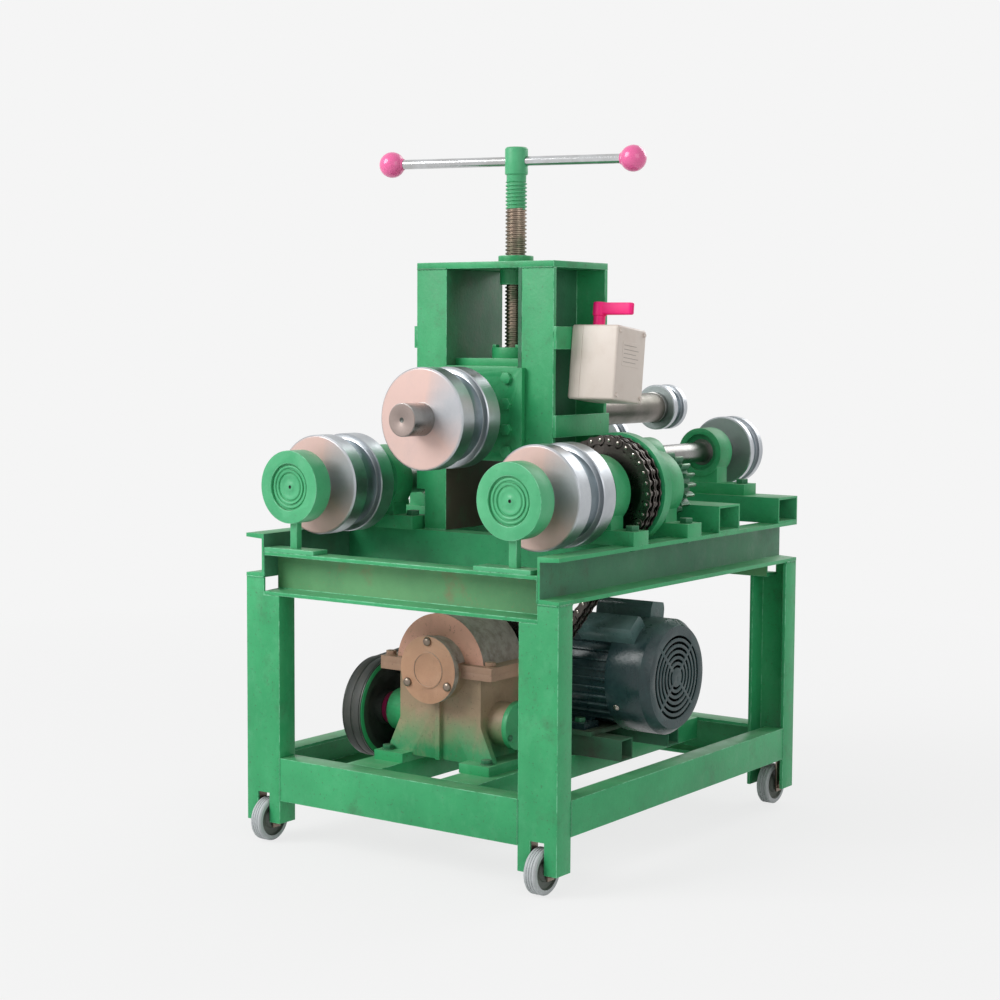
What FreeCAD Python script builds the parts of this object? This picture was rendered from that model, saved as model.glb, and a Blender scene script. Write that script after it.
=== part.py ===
import FreeCAD, Part
import math
import os

os.makedirs("parts", exist_ok=True)

# ---------------------------------------------------------------- driving sizes (mm)
# Axes: X across the front, Y from front to back, Z up from the floor. Places are worked out from
# the middle of the frame, and write_nodes moves the origin to the middle of the overall depth.
FRAME_W = 694.0          # width over the legs
FRAME_D = 854.0          # depth over the legs
BENCH_TOP = 573.0        # top of the side channels
LEG_FOOT = 37.0          # underside of the legs
FRONT_DROP = 32.0        # end channels lie this much below the side channels

CHANNEL = (80.0, 43.0, 5.0, 9.0, 7.0)      # height, flange, web, flange root, flange tip
RAIL_CHANNEL = (63.0, 40.0, 4.8, 8.5, 6.5)
COLUMN_CHANNEL = (180.0, 70.0, 9.0, 12.5, 9.0)
TUBE_W = 80.0
TUBE_H = 50.0
TUBE_T = 4.0
RAIL_TOP = 160.5

WHEEL_D = 80.0
WHEEL_W = 24.0
WHEEL_IN = 16.0          # wheel centre behind the leg face

SHAFT_X = 244.0          # half the spacing of the lower spindles
SHAFT_RISE = 89.0        # lower spindles above the bench
ROLL_LIFT = 128.0        # top spindle above the lower ones
SHAFT_R = 25.0
TOP_SHAFT_R = 30.0
TOP_NOSE_R = 29.5
NOSE_OUT = 54.5          # top shaft in front of its roll
TAIL_OUT = 11.0          # top shaft behind its rear roll
REAR_X = 158.5
REAR_SHAFT_R = 20.0
GEAR_SHAFT_R = 17.5      # rear spindles at their gears

ROLL_IN = 39.0           # front rolls behind their outboard rings
ROLL_WIDTHS = (36.0, 40.0, 38.0)           # front rim, groove, rear rim
ROLL_R = 92.0
GROOVE_DEPTH = 12.0
REAR_ROLL_R = 69.0
REAR_ROLL_WIDTHS = (14.0, 22.0, 14.0)
REAR_TOP_ROLL_R = 47.0
REAR_TOP_ROLL_WIDTHS = (15.0, 24.0, 15.0)

PEDESTAL_W = 47.0        # pedestal rings, front to back
SMALL_W = 40.0
FOOT_W = 50.0            # pedestal feet, front to back
MAIN_FOOT = 206.0        # pedestal feet across the frame
SMALL_FOOT = 130.0
FOOT_EDGE = 18.0
FOOT_BOLT = 14.0
RING_R = 66.5
RING_BORE = 45.0
SEAT_IN = 8.0            # bearing seats behind the front faces of the rings
FRONT_RING_W = 40.0
FRONT_SEAT_IN = 6.0
BEARING_W = 20.0
H1_OUT = 41.0            # front pedestals behind the rolls
H2_OUT = 67.5            # gear pedestals behind the mid plane of the tower
REAR_INSET = 39.5        # middle of the rear pedestals from the back of the frame
CHAIN_OUT = 33.0         # middle of the chain behind the front pedestals
REDUCER_OUT = 125.0      # reducer in front of the chain

TOWER_HALF = 155.0
TOWER_OUT = 96.0         # mid plane of the tower behind the middle of the front pedestals
TOWER_RISE = 488.0       # tower above the bench
NOTCH_H = 75.0           # notches for the feet and the chain above the bench
PLATE_T = 12.0
STRAP_T = 6.0
LINER_T = 8.0
SLIDE_GAP = 0.5

SCREW_OUT = 12.5         # screw behind the mid plane of the tower
SCREW_R = 20.0
BAR_RISE = 201.0         # handle bar above the tower
BAR_R = 9.0
BAR_HALF = 241.0
BAR_ANGLE = 14.3
BAR_SLIP = -13.0
BALL_R = 24.5
HUB_R = 21.5

MODULE = 6.0
MAIN_TEETH = 18
REAR_TEETH = 14
BIG_IDLER_TEETH = 20
GEAR_OUT = 26.0          # gears behind their pedestals
GEAR_W = 30.0
IDLER_PLATE_T = 8.0
IDLER_GAP = 3.0
BACKLASH = 0.7

PITCH = 19.05            # roller chain pitch
SPROCKET_TEETH = 30
ROLLER_R = 5.95
STRAND_STEP = 19.5
PLATE_H = 17.6
SPROCKET_HALF = 24.0     # half the width of a duplex chain wheel with its hub
GUARD_R = 103.0
GUARD_W = 24.0

REDUCER_X = 4.0
AXIS_RISE = 179.5        # output shaft of the reducer above the rails
WORM_DROP = 100.0        # worm below the output shaft
PULLEY_X0 = -198.0
PULLEY_W = 42.0
BIG_PULLEY_R = 93.5
SMALL_PULLEY_R = 48.5
BELT_STEP = 19.0

MOTOR_OUT = 265.0        # motor axis behind the reducer
MOTOR_RISE = 148.0       # motor axis above the rails
MOTOR_R = 98.0

BOX_TILT = -6.5          # switch box leans back on its strap
FIT = 0.05               # radial running clearance
AIR = 0.3                # clearance between parts that pass each other
SEAL_GAP = 0.3

# ---------------------------------------------------------------- places worked out from the sizes
HALF_W = FRAME_W / 2
HALF_D = FRAME_D / 2
SIDE_X = HALF_W - CHANNEL[1]
LEG_TOP = BENCH_TOP - CHANNEL[0]
END_Z0 = LEG_TOP - FRONT_DROP
END_TOP = BENCH_TOP - FRONT_DROP
SHAFT_Z = BENCH_TOP + SHAFT_RISE
TOP_Z = SHAFT_Z + ROLL_LIFT
TOWER_TOP = BENCH_TOP + TOWER_RISE
NOTCH_TOP = BENCH_TOP + NOTCH_H
BAR_Z = TOWER_TOP + BAR_RISE
WIN_HALF = TOWER_HALF - COLUMN_CHANNEL[1]
R_MAIN = MODULE * MAIN_TEETH / 2
R_REAR = MODULE * REAR_TEETH / 2
R_BIG = MODULE * BIG_IDLER_TEETH / 2
REAR_Z = SHAFT_Z + math.sqrt((R_MAIN + R_REAR) ** 2 - (SHAFT_X - REAR_X) ** 2)
IDLER_Z = BENCH_TOP + 9.0
TUBE_TOP = BENCH_TOP + TUBE_H
FRONT_RING_Y = -HALF_D + 1.0
FRONT_SEAT_Y = FRONT_RING_Y + FRONT_SEAT_IN
ROLL_FRONT = FRONT_RING_Y + FRONT_RING_W + ROLL_IN
H1_FRONT = ROLL_FRONT + sum(ROLL_WIDTHS) + H1_OUT
H1_Y = (H1_FRONT, H1_FRONT + PEDESTAL_W)
TOWER_Y = sum(H1_Y) / 2 + TOWER_OUT
COL_Y0 = TOWER_Y - COLUMN_CHANNEL[0] / 2
COL_Y1 = TOWER_Y + COLUMN_CHANNEL[0] / 2
SCREW_Y = TOWER_Y + SCREW_OUT
H2_FRONT = TOWER_Y + H2_OUT
H2_Y = (H2_FRONT, H2_FRONT + PEDESTAL_W)
GEAR_Y0 = H2_Y[1] + GEAR_OUT
GEAR_Y1 = GEAR_Y0 + GEAR_W
IDLER_PLATE_Y = GEAR_Y1 + IDLER_GAP
GEAR_TUBE_Y = IDLER_PLATE_Y + IDLER_PLATE_T
H3_MID = HALF_D - REAR_INSET
H3_Y = (H3_MID - PEDESTAL_W / 2, H3_MID + PEDESTAL_W / 2)
SMALL_MID = GEAR_TUBE_Y + TUBE_W / 2
SMALL_Y = (SMALL_MID - SMALL_W / 2, SMALL_MID + SMALL_W / 2)
REAR_ROLL_Y = H3_Y[1] + 44.0
REAR_TOP_ROLL_Y = REAR_ROLL_Y - 2.0
TOP_ROLL_Y = ROLL_FRONT - 2.0
TOP_SHAFT_FRONT = TOP_ROLL_Y - NOSE_OUT
TOP_SHAFT_END = REAR_TOP_ROLL_Y + sum(REAR_TOP_ROLL_WIDTHS) + TAIL_OUT
CHAIN_Y = H1_Y[1] + CHAIN_OUT
REDUCER_Y = CHAIN_Y - REDUCER_OUT
MOTOR_Y = REDUCER_Y + MOTOR_OUT
WHEEL_AXIS_Z = RAIL_TOP + AXIS_RISE
WORM_AXIS_Z = WHEEL_AXIS_Z - WORM_DROP
MOTOR_Z = RAIL_TOP + MOTOR_RISE
WHEEL_REACH = HALF_D - WHEEL_IN + WHEEL_D / 2
CENTRE_Y = (TOP_SHAFT_END - WHEEL_REACH) / 2   # middle of the overall depth
SPROCKET_R = PITCH / 2 / math.sin(math.pi / SPROCKET_TEETH)

V = FreeCAD.Vector
AXES = {"x": V(1, 0, 0), "y": V(0, 1, 0), "z": V(0, 0, 1)}


# ---------------------------------------------------------------- basic shapes
def box(x0, x1, y0, y1, z0, z1):
    return Part.makeBox(x1 - x0, y1 - y0, z1 - z0, V(x0, y0, z0))


def point(axis, a, u, v):
    """Point with coordinate a on the axis and u, v on the two others in x, y, z order."""
    if axis == "x":
        return V(a, u, v)
    if axis == "y":
        return V(u, a, v)
    return V(u, v, a)


def rod(axis, r, a0, a1, u, v):
    return Part.makeCylinder(r, a1 - a0, point(axis, a0, u, v), AXES[axis])


def ring(axis, r_out, r_in, a0, a1, u, v):
    return rod(axis, r_out, a0, a1, u, v).cut(rod(axis, r_in, a0 - 1, a1 + 1, u, v))


def fuse(shapes):
    first = shapes[0]
    if len(shapes) == 1:
        return first
    return first.multiFuse(shapes[1:]).removeSplitter()


def prism(points, shift):
    wire = Part.makePolygon(points + [points[0]])
    return Part.Face(wire).extrude(shift)


def turned(profile, axis, u, v):
    """Solid of revolution; the profile lists (radius, position on the axis)."""
    side = {"x": V(0, 1, 0), "y": V(1, 0, 0), "z": V(1, 0, 0)}[axis]
    base = point(axis, 0, u, v)
    pts = [base + side * r + AXES[axis] * a for r, a in profile]
    wire = Part.makePolygon(pts + [pts[0]])
    return Part.Face(wire).revolve(base, AXES[axis], 360)


def hex_prism(axis, across, a0, a1, u, v):
    r = across / math.sqrt(3)
    pts = []
    for k in range(6):
        t = math.radians(60 * k)
        pts.append(point(axis, a0, u + r * math.cos(t), v + r * math.sin(t)))
    return prism(pts, AXES[axis] * (a1 - a0))


def bolt(axis, size, seat, way, u, v, shank):
    """Hex bolt: head on the seat pointing along way (+1 or -1), shank going the other way."""
    head = 0.65 * size
    a = sorted((seat, seat + way * head))
    b = sorted((seat, seat - way * shank))
    body = rod(axis, size / 2, b[0], b[1], u, v)
    return body.fuse(hex_prism(axis, 1.6 * size, a[0], a[1], u, v))


def channel(axis, a0, a1, v_axis, back, reach, w_axis, low, size):
    """Rolled channel along axis; web face at back, flanges reaching along v_axis."""
    h, f, web, root, tip = size
    section = [(0, 0), (f, 0), (f, tip), (web, root), (web, h - root), (f, h - tip), (f, h), (0, h)]
    pts = []
    for p, q in section:
        spot = {axis: a0, v_axis: back + reach * p, w_axis: low + q}
        pts.append(V(spot["x"], spot["y"], spot["z"]))
    return prism(pts, AXES[axis] * (a1 - a0))


def box_tube(x0, x1, y0, z0, w, h, t):
    outer = box(x0, x1, y0, y0 + w, z0, z0 + h)
    return outer.cut(box(x0 - 1, x1 + 1, y0 + t, y0 + w - t, z0 + t, z0 + h - t))


NODES = {}


def add(node, *solids):
    """Put solids into a node; a node may gather several separate pieces of one body."""
    NODES.setdefault(node, []).extend(solids)


def write_nodes():
    for node, solids in NODES.items():
        shape = solids[0] if len(solids) == 1 else Part.makeCompound(solids)
        shape.translate(V(0, -CENTRE_Y, 0))
        shape.exportStep("parts/%s.step" % node)


# ---------------------------------------------------------------- frame
def leg(sx, sy):
    """Corner leg: web on the end face, notched above for the end channel, slotted for the wheel."""
    h, f, web = CHANNEL[0], CHANNEL[1], CHANNEL[2]
    x0 = -HALF_W if sx < 0 else HALF_W - h
    post = channel("z", LEG_FOOT, LEG_TOP, "y", sy * HALF_D, -sy, "x", x0, CHANNEL)
    inner = sorted((sx * SIDE_X, sx * (HALF_W - h - 1)))
    deep = sorted((sy * (HALF_D + 1), sy * (HALF_D - f - 1)))
    post = post.cut(box(inner[0], inner[1], deep[0], deep[1], END_Z0, LEG_TOP + 1))
    mid = sx * (HALF_W - h / 2)
    skin = sorted((sy * (HALF_D + 1), sy * (HALF_D - web - 6)))
    half = WHEEL_W / 2 + 2
    return post.cut(box(mid - half, mid + half, skin[0], skin[1], LEG_FOOT - 1, LEG_FOOT + 55))


def end_channel(sy):
    return channel("x", -SIDE_X, SIDE_X, "y", sy * (HALF_D - CHANNEL[1]), sy, "z", END_Z0, CHANNEL)


def side_channel(sx):
    return channel("y", -HALF_D, HALF_D, "x", sx * SIDE_X, sx, "z", LEG_TOP, CHANNEL)


def cross_channel(back, reach):
    return channel("x", -SIDE_X, SIDE_X, "y", back, reach, "z", LEG_TOP, CHANNEL)


def end_rail(sy):
    span = HALF_W - CHANNEL[0]
    return channel("x", -span, span, "y", sy * HALF_D, -sy, "z", RAIL_TOP - CHANNEL[0], CHANNEL)


def side_rail(sx):
    span = HALF_D - CHANNEL[1]
    low = RAIL_TOP - RAIL_CHANNEL[0]
    return channel("y", -span, span, "x", sx * HALF_W, -sx, "z", low, RAIL_CHANNEL)


def deck_bar(x0):
    span = HALF_D - CHANNEL[1]
    return channel("y", -span, span, "z", RAIL_TOP, -1, "x", x0, CHANNEL)


def drill_feet(member, base_z, spots):
    """Holes through the flange or wall under the pedestal bolts."""
    for x, y in spots:
        member = member.cut(rod("z", FOOT_BOLT / 2 + 0.5, base_z - 20, base_z + 1, x, y))
    return member


def bench_spots():
    spots = []
    for y0, y1 in (H1_Y, H2_Y):
        for sx in (-1, 1):
            spots += [(x, (y0 + y1) / 2) for x in foot_bolts(sx * SHAFT_X, MAIN_FOOT)]
    return spots


def tube_spots(foot, y0, y1):
    spots = []
    for sx in (-1, 1):
        spots += [(x, (y0 + y1) / 2) for x in foot_bolts(sx * REAR_X, foot)]
    return spots


def build_frame():
    for sy, end in ((-1, "front"), (1, "rear")):
        add("legs", leg(-1, sy), leg(1, sy))
        add("end_channels", end_channel(sy))
        add("bottom_rails", end_rail(sy))
    bench = bench_spots()
    for sx in (-1, 1):
        add("side_channels", drill_feet(side_channel(sx), BENCH_TOP, bench))
    add("bottom_rails", side_rail(-1), side_rail(1))
    front = cross_channel(sum(H1_Y) / 2 - 13.5, 1)
    rear = cross_channel(sum(H2_Y) / 2 + 17.5, -1)
    add("cross_members", drill_feet(front, BENCH_TOP, bench), drill_feet(rear, BENCH_TOP, bench))
    add("deck_bars", deck_bar(REDUCER_X - 147), deck_bar(REDUCER_X + 67))
    span = HALF_W
    gear_tube = box_tube(-span, span, GEAR_TUBE_Y, BENCH_TOP, TUBE_W, TUBE_H, TUBE_T)
    rear_tube = box_tube(-span, span, HALF_D - TUBE_W, BENCH_TOP, TUBE_W, TUBE_H, TUBE_T)
    add("cross_members", drill_feet(gear_tube, TUBE_TOP, tube_spots(SMALL_FOOT, *SMALL_Y)))
    add("cross_members", drill_feet(rear_tube, TUBE_TOP, tube_spots(MAIN_FOOT, *H3_Y)))


# ---------------------------------------------------------------- casters
def wheel_y(sy):
    return sy * (HALF_D - WHEEL_IN)


def wheel_x(sx):
    return sx * (HALF_W - CHANNEL[0] / 2)


def caster_bracket(sx, sy):
    """Fork welded between the leg flanges above the wheel."""
    x = wheel_x(sx)
    y = wheel_y(sy)
    skin = sorted((sy * (HALF_D - CHANNEL[2]), sy * (HALF_D - CHANNEL[1] + 1)))
    top = box(x - 31, x + 31, skin[0], skin[1], LEG_FOOT + 57, LEG_FOOT + 62)
    pieces = [top]
    for side in (-1, 1):
        a = sorted((x + side * 15, x + side * 18.5))
        pieces.append(box(a[0], a[1], y - 10, y + 10, WHEEL_D / 2 - 14, LEG_FOOT + 57))
    return fuse(pieces).cut(rod("x", 6.0, x - 30, x + 30, y, WHEEL_D / 2))


def caster_wheel(sx, sy):
    r = WHEEL_D / 2
    h = WHEEL_W / 2
    x = wheel_x(sx)
    half = [(6 + FIT, h), (15, h), (17, h - 5), (28, h - 5), (30, h), (r - 2, h), (r, h - 2)]
    mirror = [(a, -b) for a, b in reversed(half)]
    return turned([(a, x + b) for a, b in half + mirror], "x", wheel_y(sy), r)


def caster_axle(sx, sy):
    x = wheel_x(sx)
    y = wheel_y(sy)
    z = WHEEL_D / 2
    shaft = rod("x", 6.0, x - 24, x + 24, y, z)
    head = hex_prism("x", 16, x - 24, x - 18.5, y, z)
    nut = hex_prism("x", 16, x + 18.5, x + 25, y, z)
    return fuse([shaft, head, nut])


CORNERS = ((-1, -1, "front_left"), (1, -1, "front_right"),
           (-1, 1, "rear_left"), (1, 1, "rear_right"))


def build_casters():
    for sx, sy, name in CORNERS:
        add("caster_wheel_%s" % name, caster_wheel(sx, sy))
    add("caster_forks", *[caster_bracket(sx, sy) for sx, sy, name in CORNERS])
    add("caster_forks", *[caster_axle(sx, sy) for sx, sy, name in CORNERS])


# ---------------------------------------------------------------- bearings and housings
def bearing(axis, bore_r, out_r, a0, a1, u, v):
    """Sealed ball bearing as an outer ring with its seals and an inner ring."""
    mid = bore_r + 0.3 * (out_r - bore_r)
    outer = ring(axis, out_r, mid + SEAL_GAP, a0, a1, u, v)
    inner = ring(axis, mid, bore_r, a0, a1, u, v)
    return outer, inner


def foot_bolts(x, foot):
    """Positions of the two hold-down bolts of a pedestal foot."""
    return [x + side * (foot / 2 - FOOT_EDGE) for side in (-1, 1)]


def pedestal(x, z, base_z, y0, y1, ring_r, bore_r, foot, thick):
    """Ring housing on a flat foot with two bolt holes; the bearing sits from the front."""
    mid = (y0 + y1) / 2
    body = rod("y", ring_r, y0, y1, x, z)
    deep = FOOT_W / 2
    seat = y0 + SEAT_IN
    plate = box(x - foot / 2, x + foot / 2, mid - deep, mid + deep, base_z, base_z + thick)
    parts = [body, plate]
    if z - ring_r > base_z + thick - 6:
        half = 0.8 * ring_r
        parts.append(box(x - half, x + half, mid - deep + 5, mid + deep - 5, base_z + 1, z - 0.5 * ring_r))
    shape = fuse(parts).cut(rod("y", bore_r, seat, seat + BEARING_W, x, z))
    shape = shape.cut(rod("y", bore_r - 3.5, y0 - 1, seat + 1, x, z))
    shape = shape.cut(rod("y", bore_r - 12, seat + BEARING_W - 8, y1 + 1, x, z))
    for a in foot_bolts(x, foot):
        shape = shape.cut(rod("z", FOOT_BOLT / 2 + 1, base_z - 1, base_z + thick + 1, a, mid))
    return shape


def pedestal_bolts(x, base_z, mid, foot, thick, under):
    bolts = []
    for a in foot_bolts(x, foot):
        bolts.append(bolt("z", FOOT_BOLT, base_z + thick, 1, a, mid, thick + under))
    return bolts


STRIP_T = 8.0
REAR_RING = (48.5, 40.0, 22.0)     # ring radius, bore radius and foot thickness
SMALL_RING = (38.0, 31.0, 12.0)
MAIN_FOOT_T = 25.0


def front_ring(sx):
    """Outboard bearing ring on a square post, open at the front."""
    x = sx * SHAFT_X
    y0 = FRONT_RING_Y
    y1 = y0 + FRONT_RING_W
    seat = FRONT_SEAT_Y
    body = rod("y", RING_R, y0, y1, x, SHAFT_Z)
    post = box(x - 8, x + 8, y0 + 13, y0 + 27, END_TOP + STRIP_T, SHAFT_Z - RING_R + 6.5)
    shape = body.fuse(post).cut(rod("y", RING_BORE, seat, seat + BEARING_W, x, SHAFT_Z))
    shape = shape.cut(rod("y", RING_BORE - 2, y0 - 1, seat + 1, x, SHAFT_Z))
    return shape.cut(rod("y", RING_BORE - 12, seat + BEARING_W - 1, y1 + 1, x, SHAFT_Z))


def ring_strip(x):
    return box(x - 59, x + 59, -HALF_D, -HALF_D + FRONT_RING_W, END_TOP, END_TOP + STRIP_T)


MAIN_SEATS = (FRONT_SEAT_Y, H1_Y[0] + SEAT_IN, H2_Y[0] + SEAT_IN)


def seated(bore_r, out_r, y0, x, z):
    """Bearing of the standard width on a spindle, from y0 backwards."""
    return bearing("y", bore_r, out_r, y0, y0 + BEARING_W, x, z)


def build_housings():
    add("front_bearing_posts", front_ring(-1), front_ring(1))
    add("front_bearing_posts", ring_strip(-SHAFT_X), ring_strip(SHAFT_X - 13))
    for y0, y1 in (H1_Y, H2_Y):
        mid = (y0 + y1) / 2
        for sx in (-1, 1):
            x = sx * SHAFT_X
            block = pedestal(x, SHAFT_Z, BENCH_TOP, y0, y1, RING_R, RING_BORE, MAIN_FOOT, MAIN_FOOT_T)
            add("pillow_blocks", block)
            bolts = pedestal_bolts(x, BENCH_TOP, mid, MAIN_FOOT, MAIN_FOOT_T, 12.0)
            add("frame_bolts", *bolts)
    under = TUBE_T - 0.1
    for (y0, y1), foot, (ring_r, bore_r, thick) in ((H3_Y, MAIN_FOOT, REAR_RING),
                                                    (SMALL_Y, SMALL_FOOT, SMALL_RING)):
        mid = (y0 + y1) / 2
        for sx in (-1, 1):
            x = sx * REAR_X
            block = pedestal(x, REAR_Z, TUBE_TOP, y0, y1, ring_r, bore_r, foot, thick)
            add("pillow_blocks", block)
            add("frame_bolts", *pedestal_bolts(x, TUBE_TOP, mid, foot, thick, under))
    for sx in (-1, 1):
        for a in MAIN_SEATS:
            add("bearing_rings", seated(SHAFT_R, RING_BORE, a, sx * SHAFT_X, SHAFT_Z)[0])
        x = sx * REAR_X
        add("bearing_rings", seated(REAR_SHAFT_R, REAR_RING[1], H3_Y[0] + SEAT_IN, x, REAR_Z)[0])
        add("bearing_rings", seated(GEAR_SHAFT_R, SMALL_RING[1], SMALL_Y[0] + SEAT_IN, x, REAR_Z)[0])


# ---------------------------------------------------------------- gears
def involute_flank(teeth, backlash):
    """Right flank of a tooth centred on angle 0, as (radius, half angle) from root to tip."""
    rp = MODULE * teeth / 2
    rb = rp * math.cos(math.radians(20))
    tip = rp + MODULE
    half = math.pi / (2 * teeth) - backlash / 2 / rp
    inv_p = math.tan(math.radians(20)) - math.radians(20)
    flank = [(rp - 1.2 * MODULE, half + inv_p)]
    if rb < rp - 1.2 * MODULE:
        flank = []
    for k in range(7):
        r = max(rb, rp - 1.2 * MODULE) + (tip - max(rb, rp - 1.2 * MODULE)) * k / 6
        a = math.acos(min(1.0, rb / r))
        flank.append((r, half + inv_p - (math.tan(a) - a)))
    return flank


def gear(teeth, phase, x, z, y0, y1, bore):
    flank = involute_flank(teeth, BACKLASH)
    pts = []
    for k in range(teeth):
        mid = phase + 2 * math.pi * k / teeth
        for r, a in flank:
            pts.append(V(x + r * math.cos(mid - a), y0, z + r * math.sin(mid - a)))
        for r, a in reversed(flank):
            pts.append(V(x + r * math.cos(mid + a), y0, z + r * math.sin(mid + a)))
    return prism(pts, V(0, y1 - y0, 0)).cut(rod("y", bore, y0 - 1, y1 + 1, x, z))


def mate_phase(teeth_a, phase_a, ax, az, teeth_b, bx, bz):
    """Phase that puts a tooth gap of gear b on the tooth of gear a along the line of centres."""
    line = math.atan2(bz - az, bx - ax)
    pitch_a = 2 * math.pi / teeth_a
    pitch_b = 2 * math.pi / teeth_b
    ahead = (phase_a - line) / pitch_a
    return line + math.pi - ahead * pitch_b + pitch_b / 2


def idler_spots():
    """Centres of the three idlers that join the two rear spindle gears below the top shaft."""
    span = math.hypot(REAR_X, REAR_Z - IDLER_Z)
    ux = REAR_X / span
    uz = (REAR_Z - IDLER_Z) / span
    off = math.sqrt((R_REAR + R_BIG) ** 2 - (span / 2) ** 2)
    bx = REAR_X / 2 + off * uz
    bz = (REAR_Z + IDLER_Z) / 2 - off * ux
    return bx, bz


BIG_X, BIG_Z = idler_spots()
PHASE = {}
PHASE["right"] = 0.0
PHASE["rear_right"] = mate_phase(MAIN_TEETH, 0.0, SHAFT_X, SHAFT_Z, REAR_TEETH, REAR_X, REAR_Z)
PHASE["big_right"] = mate_phase(REAR_TEETH, PHASE["rear_right"], REAR_X, REAR_Z,
                                BIG_IDLER_TEETH, BIG_X, BIG_Z)
PHASE["middle"] = mate_phase(BIG_IDLER_TEETH, PHASE["big_right"], BIG_X, BIG_Z, REAR_TEETH, 0.0, IDLER_Z)
PHASE["big_left"] = mate_phase(REAR_TEETH, PHASE["middle"], 0.0, IDLER_Z, BIG_IDLER_TEETH, -BIG_X, BIG_Z)
PHASE["rear_left"] = mate_phase(BIG_IDLER_TEETH, PHASE["big_left"], -BIG_X, BIG_Z,
                                REAR_TEETH, -REAR_X, REAR_Z)
PHASE["left"] = mate_phase(REAR_TEETH, PHASE["rear_left"], -REAR_X, REAR_Z,
                           MAIN_TEETH, -SHAFT_X, SHAFT_Z)

IDLERS = (("right", BIG_X, BIG_Z, BIG_IDLER_TEETH, "big_right"),
          ("middle", 0.0, IDLER_Z, REAR_TEETH, "middle"),
          ("left", -BIG_X, BIG_Z, BIG_IDLER_TEETH, "big_left"))
PIN_R = 12.5


def idler_plate():
    """Plate in front of the gear tube that carries the idler pins, cut away under the top shaft."""
    y0 = IDLER_PLATE_Y
    y1 = GEAR_TUBE_Y
    top = BIG_Z + 26
    half = BIG_X + 38
    plate = box(-half, half, y0, y1, BENCH_TOP - 30, top)
    plate = plate.cut(box(-50, 50, y0 - 1, y1 + 1, IDLER_Z + 40, top + 1))
    for name, x, z, teeth, key in IDLERS:
        plate = plate.cut(rod("y", PIN_R, y0 - 1, y1 + 1, x, z))
    return plate


def idler_pin(x, z):
    y0 = GEAR_Y0 - 10
    return fuse([rod("y", PIN_R, y0, GEAR_TUBE_Y, x, z), rod("y", 18.0, y0, y0 + 7, x, z)])


def build_gear_train():
    for name, x, z, teeth, key in IDLERS:
        hub = ring("y", 22.0, PIN_R + FIT, GEAR_Y0 - 3 + AIR, IDLER_PLATE_Y - AIR, x, z)
        wheel = gear(teeth, PHASE[key], x, z, GEAR_Y0, GEAR_Y1, PIN_R + FIT)
        add("idler_%s" % name, fuse([wheel, hub]))
    add("idler_bracket", idler_plate())
    add("idler_bracket", *[idler_pin(x, z) for name, x, z, teeth, key in IDLERS])


# ---------------------------------------------------------------- spindles and rolls
def grooved_roll(x, z, y0, widths, r, groove_r, bore):
    a, b, c = widths
    c1 = 1.5
    y1 = y0 + a
    y2 = y1 + b
    y3 = y2 + c
    pts = [(bore, y0), (r - c1, y0), (r, y0 + c1), (r, y1), (groove_r, y1), (groove_r, y2)]
    pts += [(r, y2), (r, y3 - c1), (r - c1, y3), (bore, y3)]
    return turned(pts, "y", x, z)


def stepped_shaft(x, z, steps, hole):
    """Turned shaft; steps lists (radius, y0, y1); a centre hole in the front end."""
    shape = fuse([rod("y", r, y0, y1, x, z) for r, y0, y1 in steps])
    y0 = min(s[1] for s in steps)
    return shape.cut(rod("y", hole, y0 - 1, y0 + 12, x, z))


def key(x, z, r, y0, y1, w):
    return box(x - w / 2, x + w / 2, y0, y1, z + r - w / 2, z + r + w / 2 - 1)


def collar(x, z, r_in, r_out, y0, y1):
    return ring("y", r_out, r_in, y0, y1, x, z)


def drilled(shape, cutters):
    for c in cutters:
        shape = shape.cut(c)
    return shape


KEY_IN = 8.0             # keys end this far inside their rolls
COLLAR_R = 32.0


def sprocket_key():
    y0 = CHAIN_Y - SPROCKET_HALF - 4
    return key(SHAFT_X, SHAFT_Z, SHAFT_R, y0, CHAIN_Y + SPROCKET_HALF, 14)


def main_spindle(sx, side):
    x = sx * SHAFT_X
    y0 = ROLL_FRONT
    y1 = y0 + sum(ROLL_WIDTHS)
    roll_key = key(x, SHAFT_Z, SHAFT_R, y0 + KEY_IN, y1 - KEY_IN, 14)
    gear_key = key(x, SHAFT_Z, SHAFT_R, GEAR_Y0 + 1, GEAR_Y1 - 1, 10)
    keys = [roll_key, gear_key]
    if sx > 0:
        keys.append(sprocket_key())
    shaft = stepped_shaft(x, SHAFT_Z, [(SHAFT_R, FRONT_SEAT_Y + 2, GEAR_Y1 + 6)], 3.0)
    add("%s_shaft" % side, drilled(shaft, keys))
    roll = grooved_roll(x, SHAFT_Z, y0, ROLL_WIDTHS, ROLL_R, ROLL_R - GROOVE_DEPTH, SHAFT_R)
    add("%s_roll" % side, roll.cut(roll_key))
    wheel = gear(MAIN_TEETH, PHASE[side], x, SHAFT_Z, GEAR_Y0, GEAR_Y1, SHAFT_R)
    add("%s_gear" % side, wheel.cut(gear_key))
    add("%s_shaft" % side, *keys)
    front, mid, back = MAIN_SEATS
    spacers = [collar(x, SHAFT_Z, SHAFT_R, COLLAR_R, front + BEARING_W, y0)]
    spacers.append(collar(x, SHAFT_Z, SHAFT_R, COLLAR_R, y1, mid))
    spacers.append(collar(x, SHAFT_Z, SHAFT_R, COLLAR_R - 1, back + BEARING_W, GEAR_Y0))
    if sx < 0:
        spacers.append(collar(x, SHAFT_Z, SHAFT_R, COLLAR_R, mid + BEARING_W, back))
    add("%s_shaft" % side, *spacers)
    add("%s_shaft" % side, *[seated(SHAFT_R, RING_BORE, a, x, SHAFT_Z)[1] for a in MAIN_SEATS])


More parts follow.
